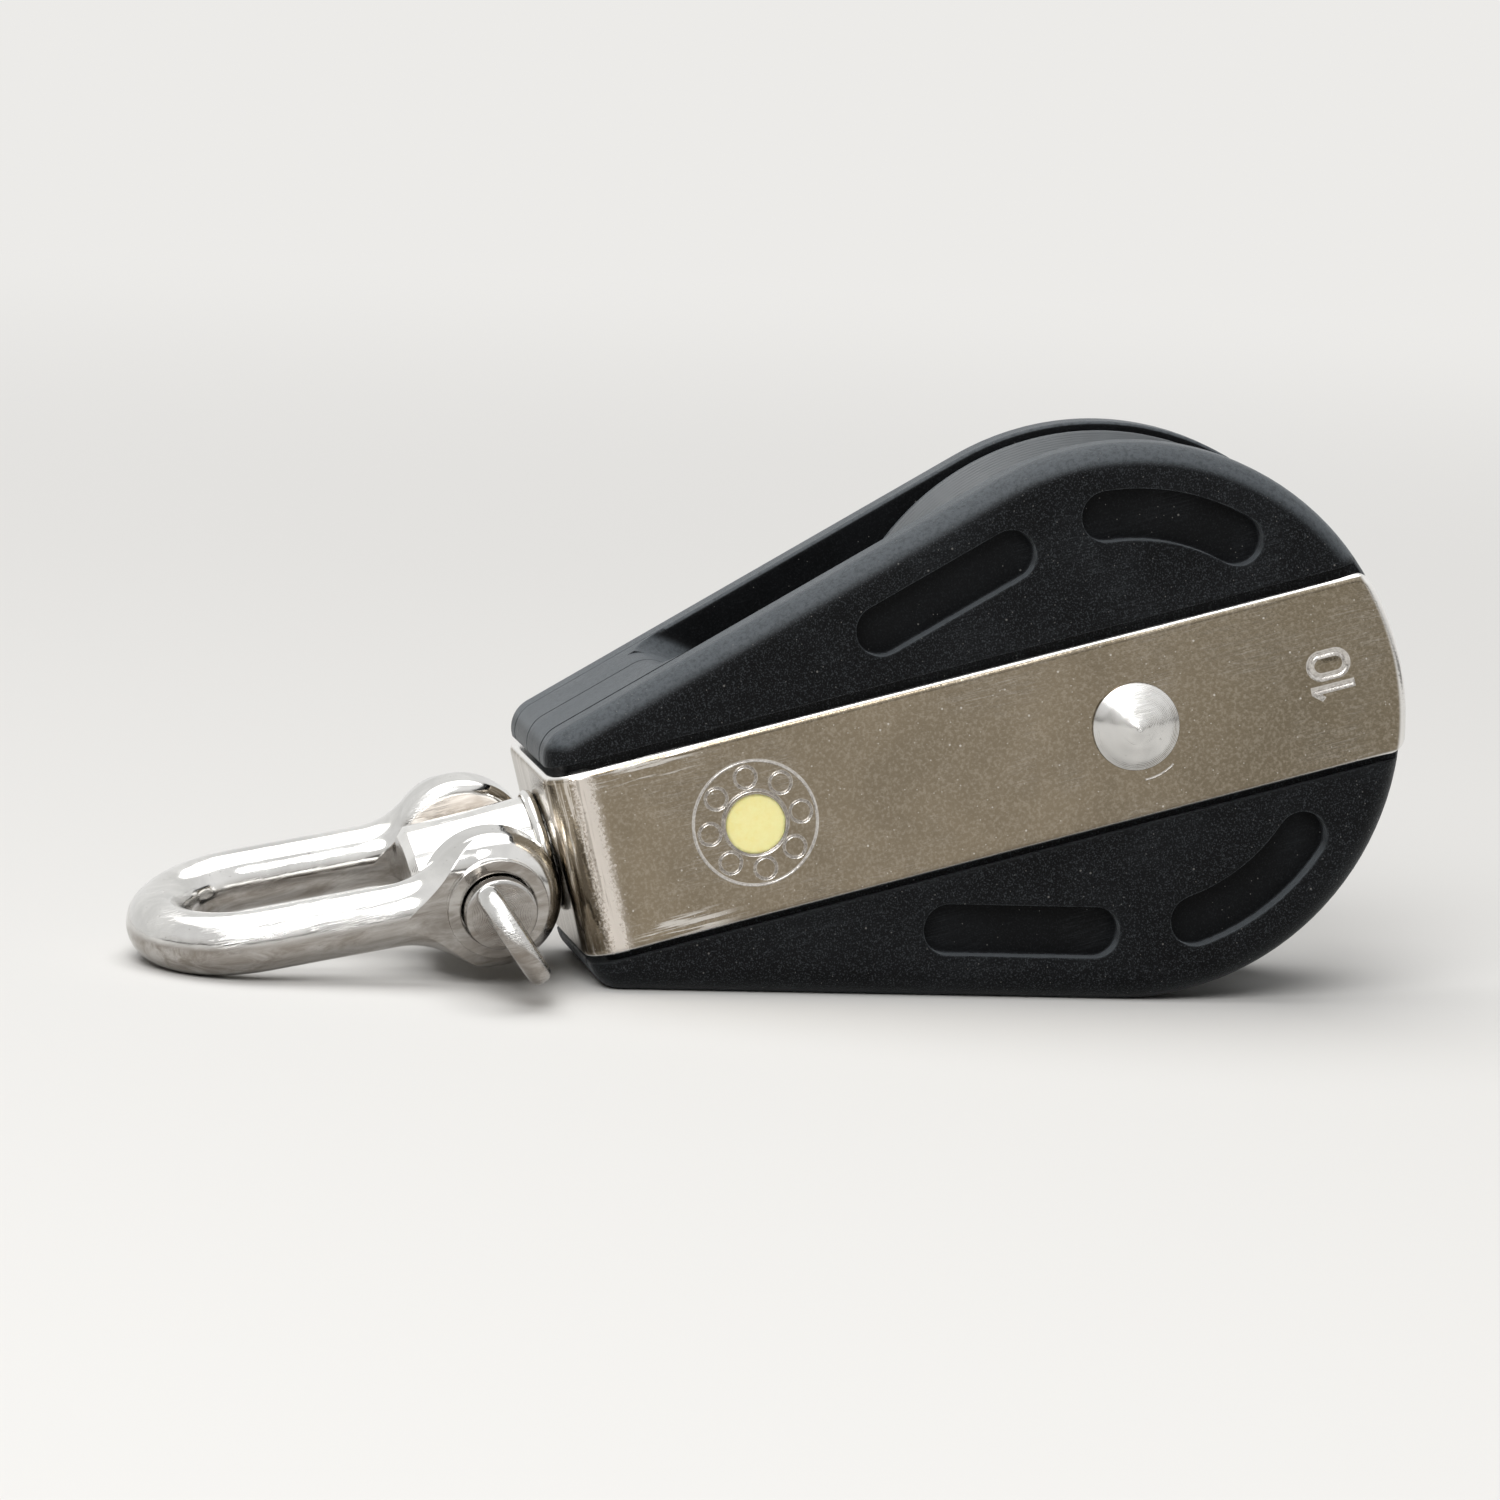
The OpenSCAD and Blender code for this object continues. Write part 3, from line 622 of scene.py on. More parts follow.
def sheave_finish():
    """Dark turned acetal, with faint rings, a painted highlight on its edges and a little dust."""
    casing = bpy.context.scene.casing_finish
    material, tree, shader = new_finish("turned_acetal")
    coords = block_coords(tree)
    edges = use_group(tree, "soft_edges", Radius=0.2 * MM)
    rings = use_group(tree, "turned_rings", coords, Pitch=0.22 * MM)
    cloud = noise(tree, coords, 5.0 * MM, 3.0)
    base = cloudy(tree, cloud, casing.sheave_colour, 0.92, 1.08)
    # Painted highlight: paler edges
    base = tint(tree, base, edges.outputs["Edge light and wear"], 0.6, SHEAVE_EDGE_HIGHLIGHT)
    dust = use_group(tree, "dust_specks", coords, Share=0.08)
    base = tint(tree, base, dust.outputs["Specks"], 0.35, SHEAVE_DUST)
    normal = bump(tree, rings.outputs["Height"], 0.012 * MM, edges.outputs["Normal"])
    dress(tree, shader, base, ramp(tree, cloud, 0.3, 0.7, 0.4, 0.45), normal)
    set_inputs(shader, Sheen_Weight=0.2, Sheen_Roughness=0.4, Sheen_Tint=BLUE_SHEEN)
    return material


def strap_finish():
    """Polished stainless strip in a painted brown reflection: fine orange peel, handling scratches,
    painted glints, a painted highlight on its edges, painted reflections in the bend and painted
    shade towards the tail.
    """
    steel = bpy.context.scene.steel_finish
    material, tree, shader = new_finish("polished_strip")
    coords = block_coords(tree)
    edges = use_group(tree, "soft_edges", Radius=steel.edge_softness)
    axes = split_axes(tree, coords)
    along, across = axes["X"], math_node(tree, "ABSOLUTE", axes["Z"])
    peel = noise(tree, coords, 0.3 * MM, 2.0, 0.65)
    # Places: the two long edges, the round tail, the bend at the head, the corners beside it
    long_edge = ramp(tree, across, *LONG_EDGE)
    tail = times(tree, ramp(tree, flat_length(tree, coords), *TAIL_EDGE),
                 math_node(tree, "GREATER_THAN", along, 0.0))
    ragged = math_node(tree, "ADD", along, times(tree, peel, 2.0 * MM))
    bend = band(tree, ragged, BEND_AT, 0.45 * MM, 1.5 * MM)
    fold = band(tree, along, FOLD_AT, 1.2 * MM, 2.6 * MM)
    corner = times(tree, band(tree, along, CORNERS_AT, 2.5 * MM, 6.5 * MM),
                   ramp(tree, across, *CORNER_EDGE))
    # Marks: scratches, and scrapes dragged along at the corners; then the streaks of the painted
    # reflections across the bend
    lines = use_group(tree, "fine_scratches", coords, Width=steel.scratch_width, Amount=0.22)
    drag = mapping(tree, coords, Rotation=(0.0, 0.06, 0.0), Scale=(0.05, 1.0, 1.0))
    scrapes = ramp(tree, noise(tree, drag, 0.42 * MM, 3.0, 0.6), 0.5, 0.6)
    marks = strongest(tree, lines.outputs["Lines"], times(tree, scrapes, corner))
    reflection_streaks = noise(tree, mapping(tree, coords, Scale=(1.0, 1.0, 0.06)), 0.6 * MM, 3.0, 0.6)
    pits = use_group(tree, "dust_specks", coords, Share=0.1)
    # Colour, from the strip itself to what lies on top
    smear = noise(tree, coords, 14.0 * MM, 3.0, 0.55, 0.6)
    base = cloudy(tree, smear, steel.strap_colour_and_reflection, 0.9, 1.1)
    # Painted shade: the strip darkens towards its tail
    darker = ramp(tree, along, -15.0 * MM, 25.0 * MM, 0.0, 0.34)
    base = mix_colour(tree, darker, base, TAIL_SHADE)
    base = mix_colour(tree, ramp(tree, peel, 0.42, 0.7, 0.0, 0.22), base, PALE_PEEL)
    # Painted reflections: dark and bright streaks across the fold, and a bright streaked band along
    # the bend
    base = tint(tree, base, fold, ramp(tree, reflection_streaks, 0.4, 0.5, 0.5, 0.0), FOLD_DARK_REFLECTION)
    base = tint(tree, base, fold, ramp(tree, reflection_streaks, 0.54, 0.62, 0.0, 0.7), FOLD_BRIGHT_REFLECTION)
    base = tint(tree, base, bend, ramp(tree, reflection_streaks, 0.36, 0.46, 0.55, 0.95), BEND_REFLECTION)
    # Painted glints in small pits
    base = tint(tree, base, pits.outputs["Specks"], 0.65, PIT_GLINT)
    base = tint(tree, base, marks, 0.7, SCRAPED_STRIP)
    # Painted highlight along the long edges, the round tail and the sharp edges
    bright = strongest(tree, long_edge, tail, edges.outputs["Edge light and wear"])
    base = tint(tree, base, bright, 0.9, PAINTED_EDGE_HIGHLIGHT)
    rough = math_node(tree, "ADD", ramp(tree, smear, 0.35, 0.75, 0.12, 0.17),
                      times(tree, strongest(tree, marks, bend), 0.16))
    peel_height = times(tree, peel, ramp(tree, bend, 0.0, 1.0, 0.5, 1.6))
    height = math_node(tree, "SUBTRACT", peel_height, times(tree, marks, 0.3))
    dress(tree, shader, base, rough, bump(tree, height, FINE_BUMP, edges.outputs["Normal"]))
    shader.inputs["Metallic"].default_value = 1.0
    return material


def stamped_finish():
    """Steel that a die has burnished: smoother and brighter than the strip about it."""
    material, tree, shader = new_finish("stamped_line")
    coords = block_coords(tree)
    edges = use_group(tree, "soft_edges", Radius=0.05 * MM)
    grit = noise(tree, coords, 0.25 * MM, 3.0, 0.6)
    base = mix_colour(tree, ramp(tree, grit, 0.35, 0.65), *BURNISHED)
    rough = ramp(tree, grit, 0.3, 0.7, 0.16, 0.26)
    dress(tree, shader, base, rough, bump(tree, grit, 0.01 * MM, edges.outputs["Normal"]))
    shader.inputs["Metallic"].default_value = 1.0
    return material


def steel_finish(name, turned=None, wave=0.06 * MM, ridges=0.3, rough=0.07, lift=1.0, steps=0.0,
                 underside_reflection=0.0):
    """Bright steel.

    turned is the place and axis of lathe rings; ridges and steps are the heights of the rings and
    of their broad bands, as shares of FINE_BUMP. wave is the height of the forging's unevenness,
    rough the least roughness, lift a factor on the colour, and the last argument the strength of a
    painted dark reflection on the faces that look downwards, laid in long streaks.
    """
    steel = bpy.context.scene.steel_finish
    material, tree, shader = new_finish(name)
    coords = block_coords(tree)
    edges = use_group(tree, "soft_edges", Radius=steel.edge_softness)
    lines = use_group(tree, "fine_scratches", coords, Width=steel.scratch_width, Amount=0.8)
    scratches = lines.outputs["Lines"]
    smear = noise(tree, coords, 6.0 * MM, 4.0, 0.6, 0.5)
    base = cloudy(tree, smear, [channel * lift for channel in steel.steel_colour], 0.8, 1.0)
    pits = use_group(tree, "dust_specks", coords, Share=0.09)
    base = tint(tree, base, pits.outputs["Specks"], 0.45, STEEL_PIT)
    # Painted reflection: the faces that look downwards darken in long streaks
    if underside_reflection:
        drag = mapping(tree, coords, Scale=(0.25, 1.0, 1.0))
        streaks = noise(tree, drag, 1.6 * MM, 4.0, 0.7, 0.8)
        ragged = math_node(tree, "ADD", facing_up(tree), times(tree, streaks, 0.3))
        under = times(tree, ramp(tree, ragged, 0.06, 0.28, 1.0, 0.0),
                      ramp(tree, streaks, 0.3, 0.7, 0.5 * underside_reflection, underside_reflection))
        base = mix_colour(tree, under, base, UNDERSIDE_REFLECTION)
    forged = times(tree, noise(tree, coords, 4.5 * MM, 2.0), wave / FINE_BUMP)
    height = math_node(tree, "SUBTRACT", forged, times(tree, scratches, 0.25))
    if turned is not None:
        place, axis = turned
        upright = ACROSS.rotation_difference(axis).to_euler()
        centred = mapping(tree, object_coords(tree), "TEXTURE", Location=place, Rotation=upright)
        rings = use_group(tree, "turned_rings", centred, Pitch=RING_PITCH)
        height = math_node(tree, "ADD", height, times(tree, rings.outputs["Height"], ridges))
        turns = times(tree, flat_length(tree, centred), 2.0 * pi / BAND_PITCH)
        height = math_node(tree, "ADD", height, times(tree, math_node(tree, "SINE", turns), steps))
    roughness = math_node(tree, "ADD", ramp(tree, smear, 0.3, 0.75, rough, rough + 0.1),
                          times(tree, scratches, 0.2))
    dress(tree, shader, base, roughness, bump(tree, height, FINE_BUMP, edges.outputs["Normal"]))
    shader.inputs["Metallic"].default_value = 1.0
    return material


def marker_finish():
    """Pale yellow plastic plug, darker in patches against its rim."""
    material, tree, shader = new_finish("yellow_plug")
    coords = block_coords(tree)
    marks = bpy.context.scene.stamped_marks
    centred = mapping(tree, coords, Location=(marks.marker_u, 0.0, 0.0))
    rim = ramp(tree, flat_length(tree, centred), 2.6 * MM, 2.95 * MM)
    stain = noise(tree, coords, 0.9 * MM, 4.0, 0.65)
    rim_dark = times(tree, rim, ramp(tree, stain, 0.3, 0.6))
    base = mix_colour(tree, ramp(tree, stain, 0.3, 0.75), *PLUG_YELLOWS)
    base = tint(tree, base, rim_dark, 0.6, PLUG_RIM_DARK)
    rough = ramp(tree, stain, 0.3, 0.7, 0.32, 0.46)
    dress(tree, shader, base, rough, bump(tree, stain, 0.015 * MM))
    set_inputs(shader, Subsurface_Weight=0.15, Subsurface_Scale=0.6 * MM)
    return material


def cage_finish():
    """Off-white bearing plastic."""
    material, tree, shader = new_finish("cage_plastic")
    cloud = noise(tree, block_coords(tree), 1.5 * MM, 4.0)
    base = mix_colour(tree, ramp(tree, cloud, 0.3, 0.7), *CAGE_CREAMS)
    rough = ramp(tree, cloud, 0.3, 0.7, 0.35, 0.5)
    dress(tree, shader, base, rough, bump(tree, cloud, 0.01 * MM))
    return material


def finish_nodes(material, *names):
    """Puts one finish on CAD nodes."""
    for name in names:
        data = frame["nodes"][name].data
        data.materials.clear()
        data.materials.append(material)


# Pieces


def shade(piece):
    """Smooth shading between sharp edges, with large flat faces kept flat."""
    piece.data.shade_smooth()
    for face in piece.data.polygons:
        face.use_smooth = face.area < FLAT_FACE
    piece.data.set_sharp_from_angle(angle=SHARP_EDGE)
    weigh = piece.modifiers.new("flat_faces_stay_flat", "WEIGHTED_NORMAL")
    weigh.keep_sharp = True


def object_from(name, form, material):
    """Turns a bmesh into an object of one material."""
    data = bpy.data.meshes.new(name)
    form.to_mesh(data)
    form.free()
    data.materials.append(material)
    made = bpy.data.objects.new(name, data)
    bpy.context.scene.collection.objects.link(made)
    return made


def close_form(form, place=None):
    """Moves a bmesh to its place, closes its seams and turns its faces outwards."""
    if place is not None:
        bmesh.ops.transform(form, matrix=place, verts=form.verts)
    bmesh.ops.remove_doubles(form, verts=form.verts, dist=WELD)
    bmesh.ops.recalc_face_normals(form, faces=form.faces)


def add_piece(name, form, body, material, place=None):
    """Turns a bmesh into a finished piece on a CAD body, with its place in its mesh."""
    close_form(form, place)
    piece = object_from(name, form, bpy.data.materials[material])
    shade(piece)
    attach(piece, body)
    return piece


def stamp(die, place):
    """Presses a die into the strap; the die is a closed form that reaches below its face."""
    close_form(die, place)
    punch = object_from("die", die, bpy.data.materials["stamped_line"])
    strap = bpy.data.objects["stamped_strap"]
    strap.modifiers.clear()
    press = strap.modifiers.new("press", "BOOLEAN")
    press.operation = "DIFFERENCE"
    press.solver = "EXACT"
    press.material_mode = "TRANSFER"
    press.object = punch
    bpy.context.view_layer.update()
    seen = strap.evaluated_get(bpy.context.evaluated_depsgraph_get())
    pressed = bpy.data.meshes.new_from_object(seen)
    strap.modifiers.clear()
    plain = strap.data
    if len(pressed.polygons) <= len(plain.polygons):
        raise RuntimeError("a die left no mark in the strap")
    form = bmesh.new()
    form.from_mesh(pressed)
    bmesh.ops.remove_doubles(form, verts=form.verts, dist=PRESSED_WELD)
    bmesh.ops.dissolve_degenerate(form, edges=form.edges, dist=PRESSED_WELD)
    form.to_mesh(pressed)
    form.free()
    strap.data = pressed
    spent = punch.data
    bpy.data.objects.remove(punch)
    for data in (plain, spent):
        bpy.data.meshes.remove(data)
    shade(strap)


def section(form, spots):
    """A closed outline of (x, y, z) points, ready to spin."""
    points = [form.verts.new(spot) for spot in spots]
    edges = [form.edges.new(pair) for pair in zip(points, points[1:] + points[:1])]
    return edges, points


def spin_groove(form, radius, width, depth, steps=64, angle=2 * pi, start=0.0):
    """A die for a groove about the Z axis: a section with sloped walls, spun."""
    half, foot = width / 2 + DIE_PAST, width / 2 - depth * DIE_LEAN
    turn = Matrix.Rotation(start, 3, "Z")
    edges, points = section(form, [turn @ Vector((radius + x, 0.0, z)) for x, z in (
        (-half, DIE_PAST), (half, DIE_PAST), (foot, -depth), (-foot, -depth))])
    whole = angle == 2 * pi
    made = bmesh.ops.spin(form, geom=edges + points, cent=(0.0, 0.0, 0.0), axis=(0.0, 0.0, 1.0),
                          angle=angle, steps=steps, use_merge=whole)
    if not whole:
        last = [item for item in made["geom_last"] if isinstance(item, bmesh.types.BMVert)]
        for cap in (points, last):
            bmesh.ops.contextual_create(form, geom=cap)


def lathe(form, profile, steps=64):
    """Spins a profile of (radius, height) points in millimetres about the Z axis."""
    points = [form.verts.new((radius * MM, 0.0, height * MM)) for radius, height in profile]
    edges = [form.edges.new(pair) for pair in zip(points, points[1:])]
    bmesh.ops.spin(form, geom=edges + points, cent=(0.0, 0.0, 0.0), axis=(0.0, 0.0, 1.0),
                   angle=2 * pi, steps=steps, use_merge=True)
    bmesh.ops.remove_doubles(form, verts=form.verts, dist=WELD)


def join(form, other):
    """Adds the other bmesh to form as a shell of its own."""
    data = bpy.data.meshes.new("shell")
    other.to_mesh(data)
    other.free()
    form.from_mesh(data)
    bpy.data.meshes.remove(data)


def merged_copy(node):
    """A copy of a CAD node's mesh, merged, with its flat faces made whole."""
    form = bmesh.new()
    form.from_mesh(frame["nodes"][node].data)
    bmesh.ops.remove_doubles(form, verts=form.verts, dist=CAD_WELD)
    bmesh.ops.dissolve_limit(form, angle_limit=radians(0.1), verts=form.verts, edges=form.edges)
    return form


def round_edges(form, chosen, radius):
    bmesh.ops.bevel(form, geom=chosen, offset=radius, offset_type="OFFSET", segments=4, profile=0.5,
                    affect="EDGES", clamp_overlap=True, material=-1)


def in_block(point):
    """A point as (distance along the block from the axle, height along the axle, rise)."""
    from_axle = point - AXLE
    return from_axle.dot(ALONG), from_axle.y, from_axle.dot(RISE)


class BLOCK_OT_finish_casing(bpy.types.Operator):
    """Give the two moulded cheeks and the sheave their plastics."""

    bl_idname = "block.finish_casing"
    bl_label = "Finish casing and sheave"

    def execute(self, context):
        finish_nodes(casing_finish(), "near_cheek", "far_cheek")
        finish_nodes(sheave_finish(), "sheave", "near_retainer", "far_retainer")
        return {"FINISHED"}


class BLOCK_OT_finish_steel(bpy.types.Operator):
    """Give the strap, the axle, the swivel and the shackle their steel."""

    bl_idname = "block.finish_steel"
    bl_label = "Finish steel"

    def execute(self, context):
        finish_nodes(strap_finish(), "strap")
        stamped_finish()
        rivet = steel_finish("turned_rivet", (AXLE, ACROSS), wave=0.01 * MM, ridges=0.6, rough=0.16,
                             lift=1.02, steps=1.3)
        finish_nodes(rivet, "axle_rivet")
        # lift 1.15 paints a highlight into the swivel's steel
        swivel = steel_finish("turned_swivel", (AXLE, ALONG), wave=0.02 * MM, lift=1.15)
        finish_nodes(swivel, "swivel_post", "swivel_collar", "thrust_washer", "swivel_nut",
                     "swivel_lock_pin")
        finish_nodes(steel_finish("forged_shackle", wave=0.1 * MM, underside_reflection=0.9), "shackle_bow")
        # lift 0.82 paints a dark reflection into the pin's steel
        finish_nodes(steel_finish("shackle_pin_steel", (PIN, PIN_AXIS), lift=0.82, underside_reflection=0.9),
                     "shackle_pin")
        return {"FINISHED"}


class BLOCK_OT_finish_bearing(bpy.types.Operator):
    """Give the balls, cages, race and washers their finishes."""

    bl_idname = "block.finish_bearing"
    bl_label = "Finish bearing"

    def execute(self, context):
        finish_nodes(steel_finish("bearing_steel", (AXLE, ACROSS), wave=0.0),
                     "inner_race", "near_side_washer", "far_side_washer", "head_dowels")
        finish_nodes(steel_finish("ball_steel", wave=0.0), "near_ball_row", "far_ball_row")
        finish_nodes(cage_finish(), "near_ball_cage", "far_ball_cage")
        return {"FINISHED"}


class BLOCK_OT_finish_markers(bpy.types.Operator):
    """Give the two marker plugs their yellow plastic."""

    bl_idname = "block.finish_markers"
    bl_label = "Finish markers"

    def execute(self, context):
        finish_nodes(marker_finish(), "near_marker", "far_marker")
        return {"FINISHED"}


class BLOCK_OT_round_strap(bpy.types.Operator):
    """Round the strap's outer edges, as tumbling leaves them."""

    bl_idname = "block.round_strap"
    bl_label = "Round strap"

    def execute(self, context):
        steel = context.scene.steel_finish
        form = merged_copy("strap")
        places = [in_block(vert.co) for vert in form.verts]
        crown = -min(u for u, y, v in places)
        out = max(abs(y) for u, y, v in places)
        edge = max(abs(v) for u, y, v in places)
        tail = max(hypot(u, v) for u, y, v in places if u > 0.0)
        bend = steel.bend_radius
        near, tail_near = 0.04 * MM, 2.2 * MM
        # Only the edges about the outer faces are rounded: the long ones, the bends' and the tail's
        chosen = []
        for rim in form.edges:
            if len(rim.link_faces) != 2 or rim.calc_face_angle() < radians(50.0):
                continue
            u, y, v = in_block((rim.verts[0].co + rim.verts[1].co) / 2)
            if u > bend - crown:
                outside = abs(y) > out - near
            else:
                reach = max(abs(y) - out + bend, 0.0)
                outside = hypot(bend - crown - u, reach) > bend - near
            if outside and (abs(v) > edge - near or (u > 0.0 and hypot(u, v) > tail - tail_near)):
                chosen.append(rim)
        if not chosen:
            raise RuntimeError("no outer edge was found on the strap")
        round_edges(form, chosen, steel.strap_rounding)
        piece = add_piece("stamped_strap", form, "block_body", "polished_strip")
        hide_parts("strap")
        return {"FINISHED"}


class BLOCK_OT_turn_pin(bpy.types.Operator):
    """Turn the shackle's pin with its collar, and forge its round tab with the seizing hole."""

    bl_idname = "block.turn_pin"
    bl_label = "Turn pin"

    def execute(self, context):
        rounding = context.scene.steel_finish.tab_rounding
        form = bmesh.new()
        lathe(form, PIN_PROFILE)
        tab = bmesh.new()
        half = TAB_THICK / 2
        edges, points = section(tab, [(radius, y, 0.0) for radius, y in (
            (TAB_HOLE, -half), (TAB_RADIUS, -half), (TAB_RADIUS, half), (TAB_HOLE, half))])
        bmesh.ops.spin(tab, geom=edges + points, cent=(0.0, 0.0, 0.0), axis=(0.0, 1.0, 0.0),
                       angle=2 * pi, steps=96, use_merge=True)
        bmesh.ops.recalc_face_normals(tab, faces=tab.faces)
        for beyond, radius in ((True, rounding), (False, TAB_HOLE_ROUNDING)):
            rim = [edge for edge in tab.edges if edge.calc_face_angle() > radians(60.0)
                   and (edge.verts[0].co.xz.length > (TAB_HOLE + TAB_RADIUS) / 2) == beyond]
            round_edges(tab, rim, radius)
        bmesh.ops.translate(tab, vec=(0.0, 0.0, TAB_EYE), verts=tab.verts)
        root = bmesh.new()
        shape = Matrix.Translation((0.0, 0.0, TAB_ROOT_AT)) @ Matrix.Diagonal((*TAB_ROOT, 1.0))
        bmesh.ops.create_cube(root, size=1.0, matrix=shape)
        upright = [edge for edge in root.edges if abs(edge.verts[0].co.z - edge.verts[1].co.z) > MM]
        round_edges(root, upright, rounding)
        join(tab, root)
        bmesh.ops.rotate(tab, cent=(0.0, 0.0, 0.0), matrix=Matrix.Rotation(TAB_TURN, 3, "Z"),
                         verts=tab.verts)
        join(form, tab)
        out = -PIN_AXIS
        axes = Matrix((ALONG, out.cross(ALONG), out))
        place = Matrix.Translation(PIN) @ axes.transposed().to_4x4()
        piece = add_piece("turned_pin", form, "screw_pin", "shackle_pin_steel", place)
        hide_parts("shackle_pin")
        return {"FINISHED"}


class BLOCK_OT_stamp_bearing_mark(bpy.types.Operator):
    """Stamp the ring of small circles round the marker: the sign for a ball bearing."""

    bl_idname = "block.stamp_bearing_mark"
    bl_label = "Stamp bearing mark"

    def execute(self, context):
        marks = context.scene.stamped_marks
        place = strap_face(-1, -marks.marker_u, MARK_RISE)
        rings = bmesh.new()
        spin_groove(rings, marks.ring_radius, marks.line_width, marks.depth, 96)
        spin_groove(rings, marks.plug_ring, marks.line_width * 0.8, marks.depth, 64)
        stamp(rings, place)
        circles = bmesh.new()
        for index in range(marks.ball_count):
            circle = bmesh.new()
            spin_groove(circle, marks.ball_radius, marks.line_width * 0.85, marks.depth, 28)
            turn = Matrix.Rotation(2 * pi * index / marks.ball_count, 3, "Z")
            spot = turn @ Vector((marks.ball_circle, 0.0, 0.0))
            bmesh.ops.translate(circle, vec=spot, verts=circle.verts)
            join(circles, circle)
        stamp(circles, place)
        return {"FINISHED"}


class BLOCK_OT_stamp_rope_size(bpy.types.Operator):
    """Stamp the rope size in millimetres, with the digits' tops towards the head."""

    bl_idname = "block.stamp_rope_size"
    bl_label = "Stamp rope size"

    def execute(self, context):
        marks = context.scene.stamped_marks
        stroke, tall, deep = marks.stroke_width, marks.number_height, 2 * marks.depth
        # In the digits' own frame X runs to the reader's right and Y runs up. The nought is a ring
        # pulled apart along Y; half a step's turn keeps its points off the line where it parts
        nought = bmesh.new()
        radius = (NOUGHT_WIDTH - stroke) / 2
        steps = 32
        spin_groove(nought, radius, stroke, deep, steps, start=pi / steps)
        reach = (tall - stroke) / 2 - radius
        for side in (1.0, -1.0):
            end = [vert for vert in nought.verts if vert.co.y * side > 0.0]
            bmesh.ops.translate(nought, vec=(0.0, side * reach, 0.0), verts=end)
        bmesh.ops.translate(nought, vec=(NOUGHT_AT, 0.0, 0.0), verts=nought.verts)
        one = bmesh.new()
        top = tall / 2
        outline = [(x, -top) for x in ONE_STEM] + [(x * MM, top + y * MM) for x, y in ONE_FLAG]
        face = one.faces.new([one.verts.new((x + ONE_AT, y, DIE_PAST)) for x, y in outline])
        if face.normal.z < 0.0:
            bmesh.ops.reverse_faces(one, faces=[face])
        sunk = bmesh.ops.extrude_face_region(one, geom=[face])
        foot = [item for item in sunk["geom"] if isinstance(item, bmesh.types.BMVert)]
        bmesh.ops.translate(one, vec=(0.0, 0.0, -DIE_PAST), verts=foot)
        floor = [item for item in sunk["geom"] if isinstance(item, bmesh.types.BMFace)]
        bmesh.ops.recalc_face_normals(one, faces=one.faces)
        bmesh.ops.inset_region(one, faces=floor, thickness=DIE_LEAN * deep, depth=deep,
                               use_even_offset=True, use_boundary=True)
        place = strap_face(-1, marks.number_u) @ Matrix.Rotation(pi / 2, 4, "Z")
        stamp(nought, place)
        stamp(one, place)
        return {"FINISHED"}


class BLOCK_OT_press_axle_rings(bpy.types.Operator):
    """Press the heading tool's faint arc beside both heads of the axle."""

    bl_idname = "block.press_axle_rings"
    bl_label = "Press axle rings"

    def execute(self, context):
        marks = context.scene.stamped_marks
        for side in (-1, 1):
            arc = bmesh.new()
            spin_groove(arc, marks.axle_ring, ARC_WIDTH, ARC_DEPTH, 14, ARC_SWEEP, ARC_START)
            stamp(arc, strap_face(side))
        return {"FINISHED"}


class BLOCK_OT_set_stage(bpy.types.Operator):
    """Lay the floor, hang the lamps and set the camera."""

    bl_idname = "block.set_stage"
    bl_label = "Set stage"

    def execute(self, context):
        studio = context.scene.studio_light
        lay_floor(studio)
        light_world(studio)
        hang_lamp("key_lamp", *KEY_LAMP, studio.key_power)
        hang_lamp("fill_lamp", *FILL_LAMP, studio.fill_power)
        set_camera()
        context.scene.view_settings.view_transform = "Standard"
        return {"FINISHED"}


# Stage


def lay_floor(studio):
    """A matt pale floor. Away from the part the eye sees it at one even level to the horizon."""
    material, tree, shader = new_finish("plain_floor")
    coords = object_coords(tree)
    pale = tuple(min(1.0, channel * 1.02) for channel in studio.floor_colour)
    base = mix_colour(tree, noise(tree, coords, 0.3, 2.0), studio.floor_colour, pale)
    link(tree, base, shader.inputs["Base Color"])
    set_inputs(shader, Roughness=0.9, Specular_IOR_Level=0.0)
    away = ramp(tree, vector_length(tree, coords), *FLOOR_FADE)
    glow = shader_node(tree, "ShaderNodeEmission", Color=(*studio.far_colour, 1.0))
    blend = tree.nodes.new("ShaderNodeMixShader")
    link(tree, times(tree, away, seen_ray(tree)), blend.inputs["Fac"])
    link(tree, shader.outputs["BSDF"], blend.inputs[1])
    link(tree, glow.outputs["Emission"], blend.inputs[2])
    out = next(n for n in tree.nodes if n.type == "OUTPUT_MATERIAL")
    link(tree, blend.outputs["Shader"], out.inputs["Surface"])
    form = bmesh.new()
    bmesh.ops.create_grid(form, x_segments=4, y_segments=4, size=FLOOR_HALF)
    floor = object_from("floor", form, material)


def seen_ray(tree):
    """1 for what the camera sees, directly or in metal, and 0 for light between surfaces."""
    path = tree.nodes.new("ShaderNodeLightPath")
    kinds = ("Is Camera Ray", "Is Glossy Ray", "Is Transmission Ray")
    return strongest(tree, *(path.outputs[kind] for kind in kinds))


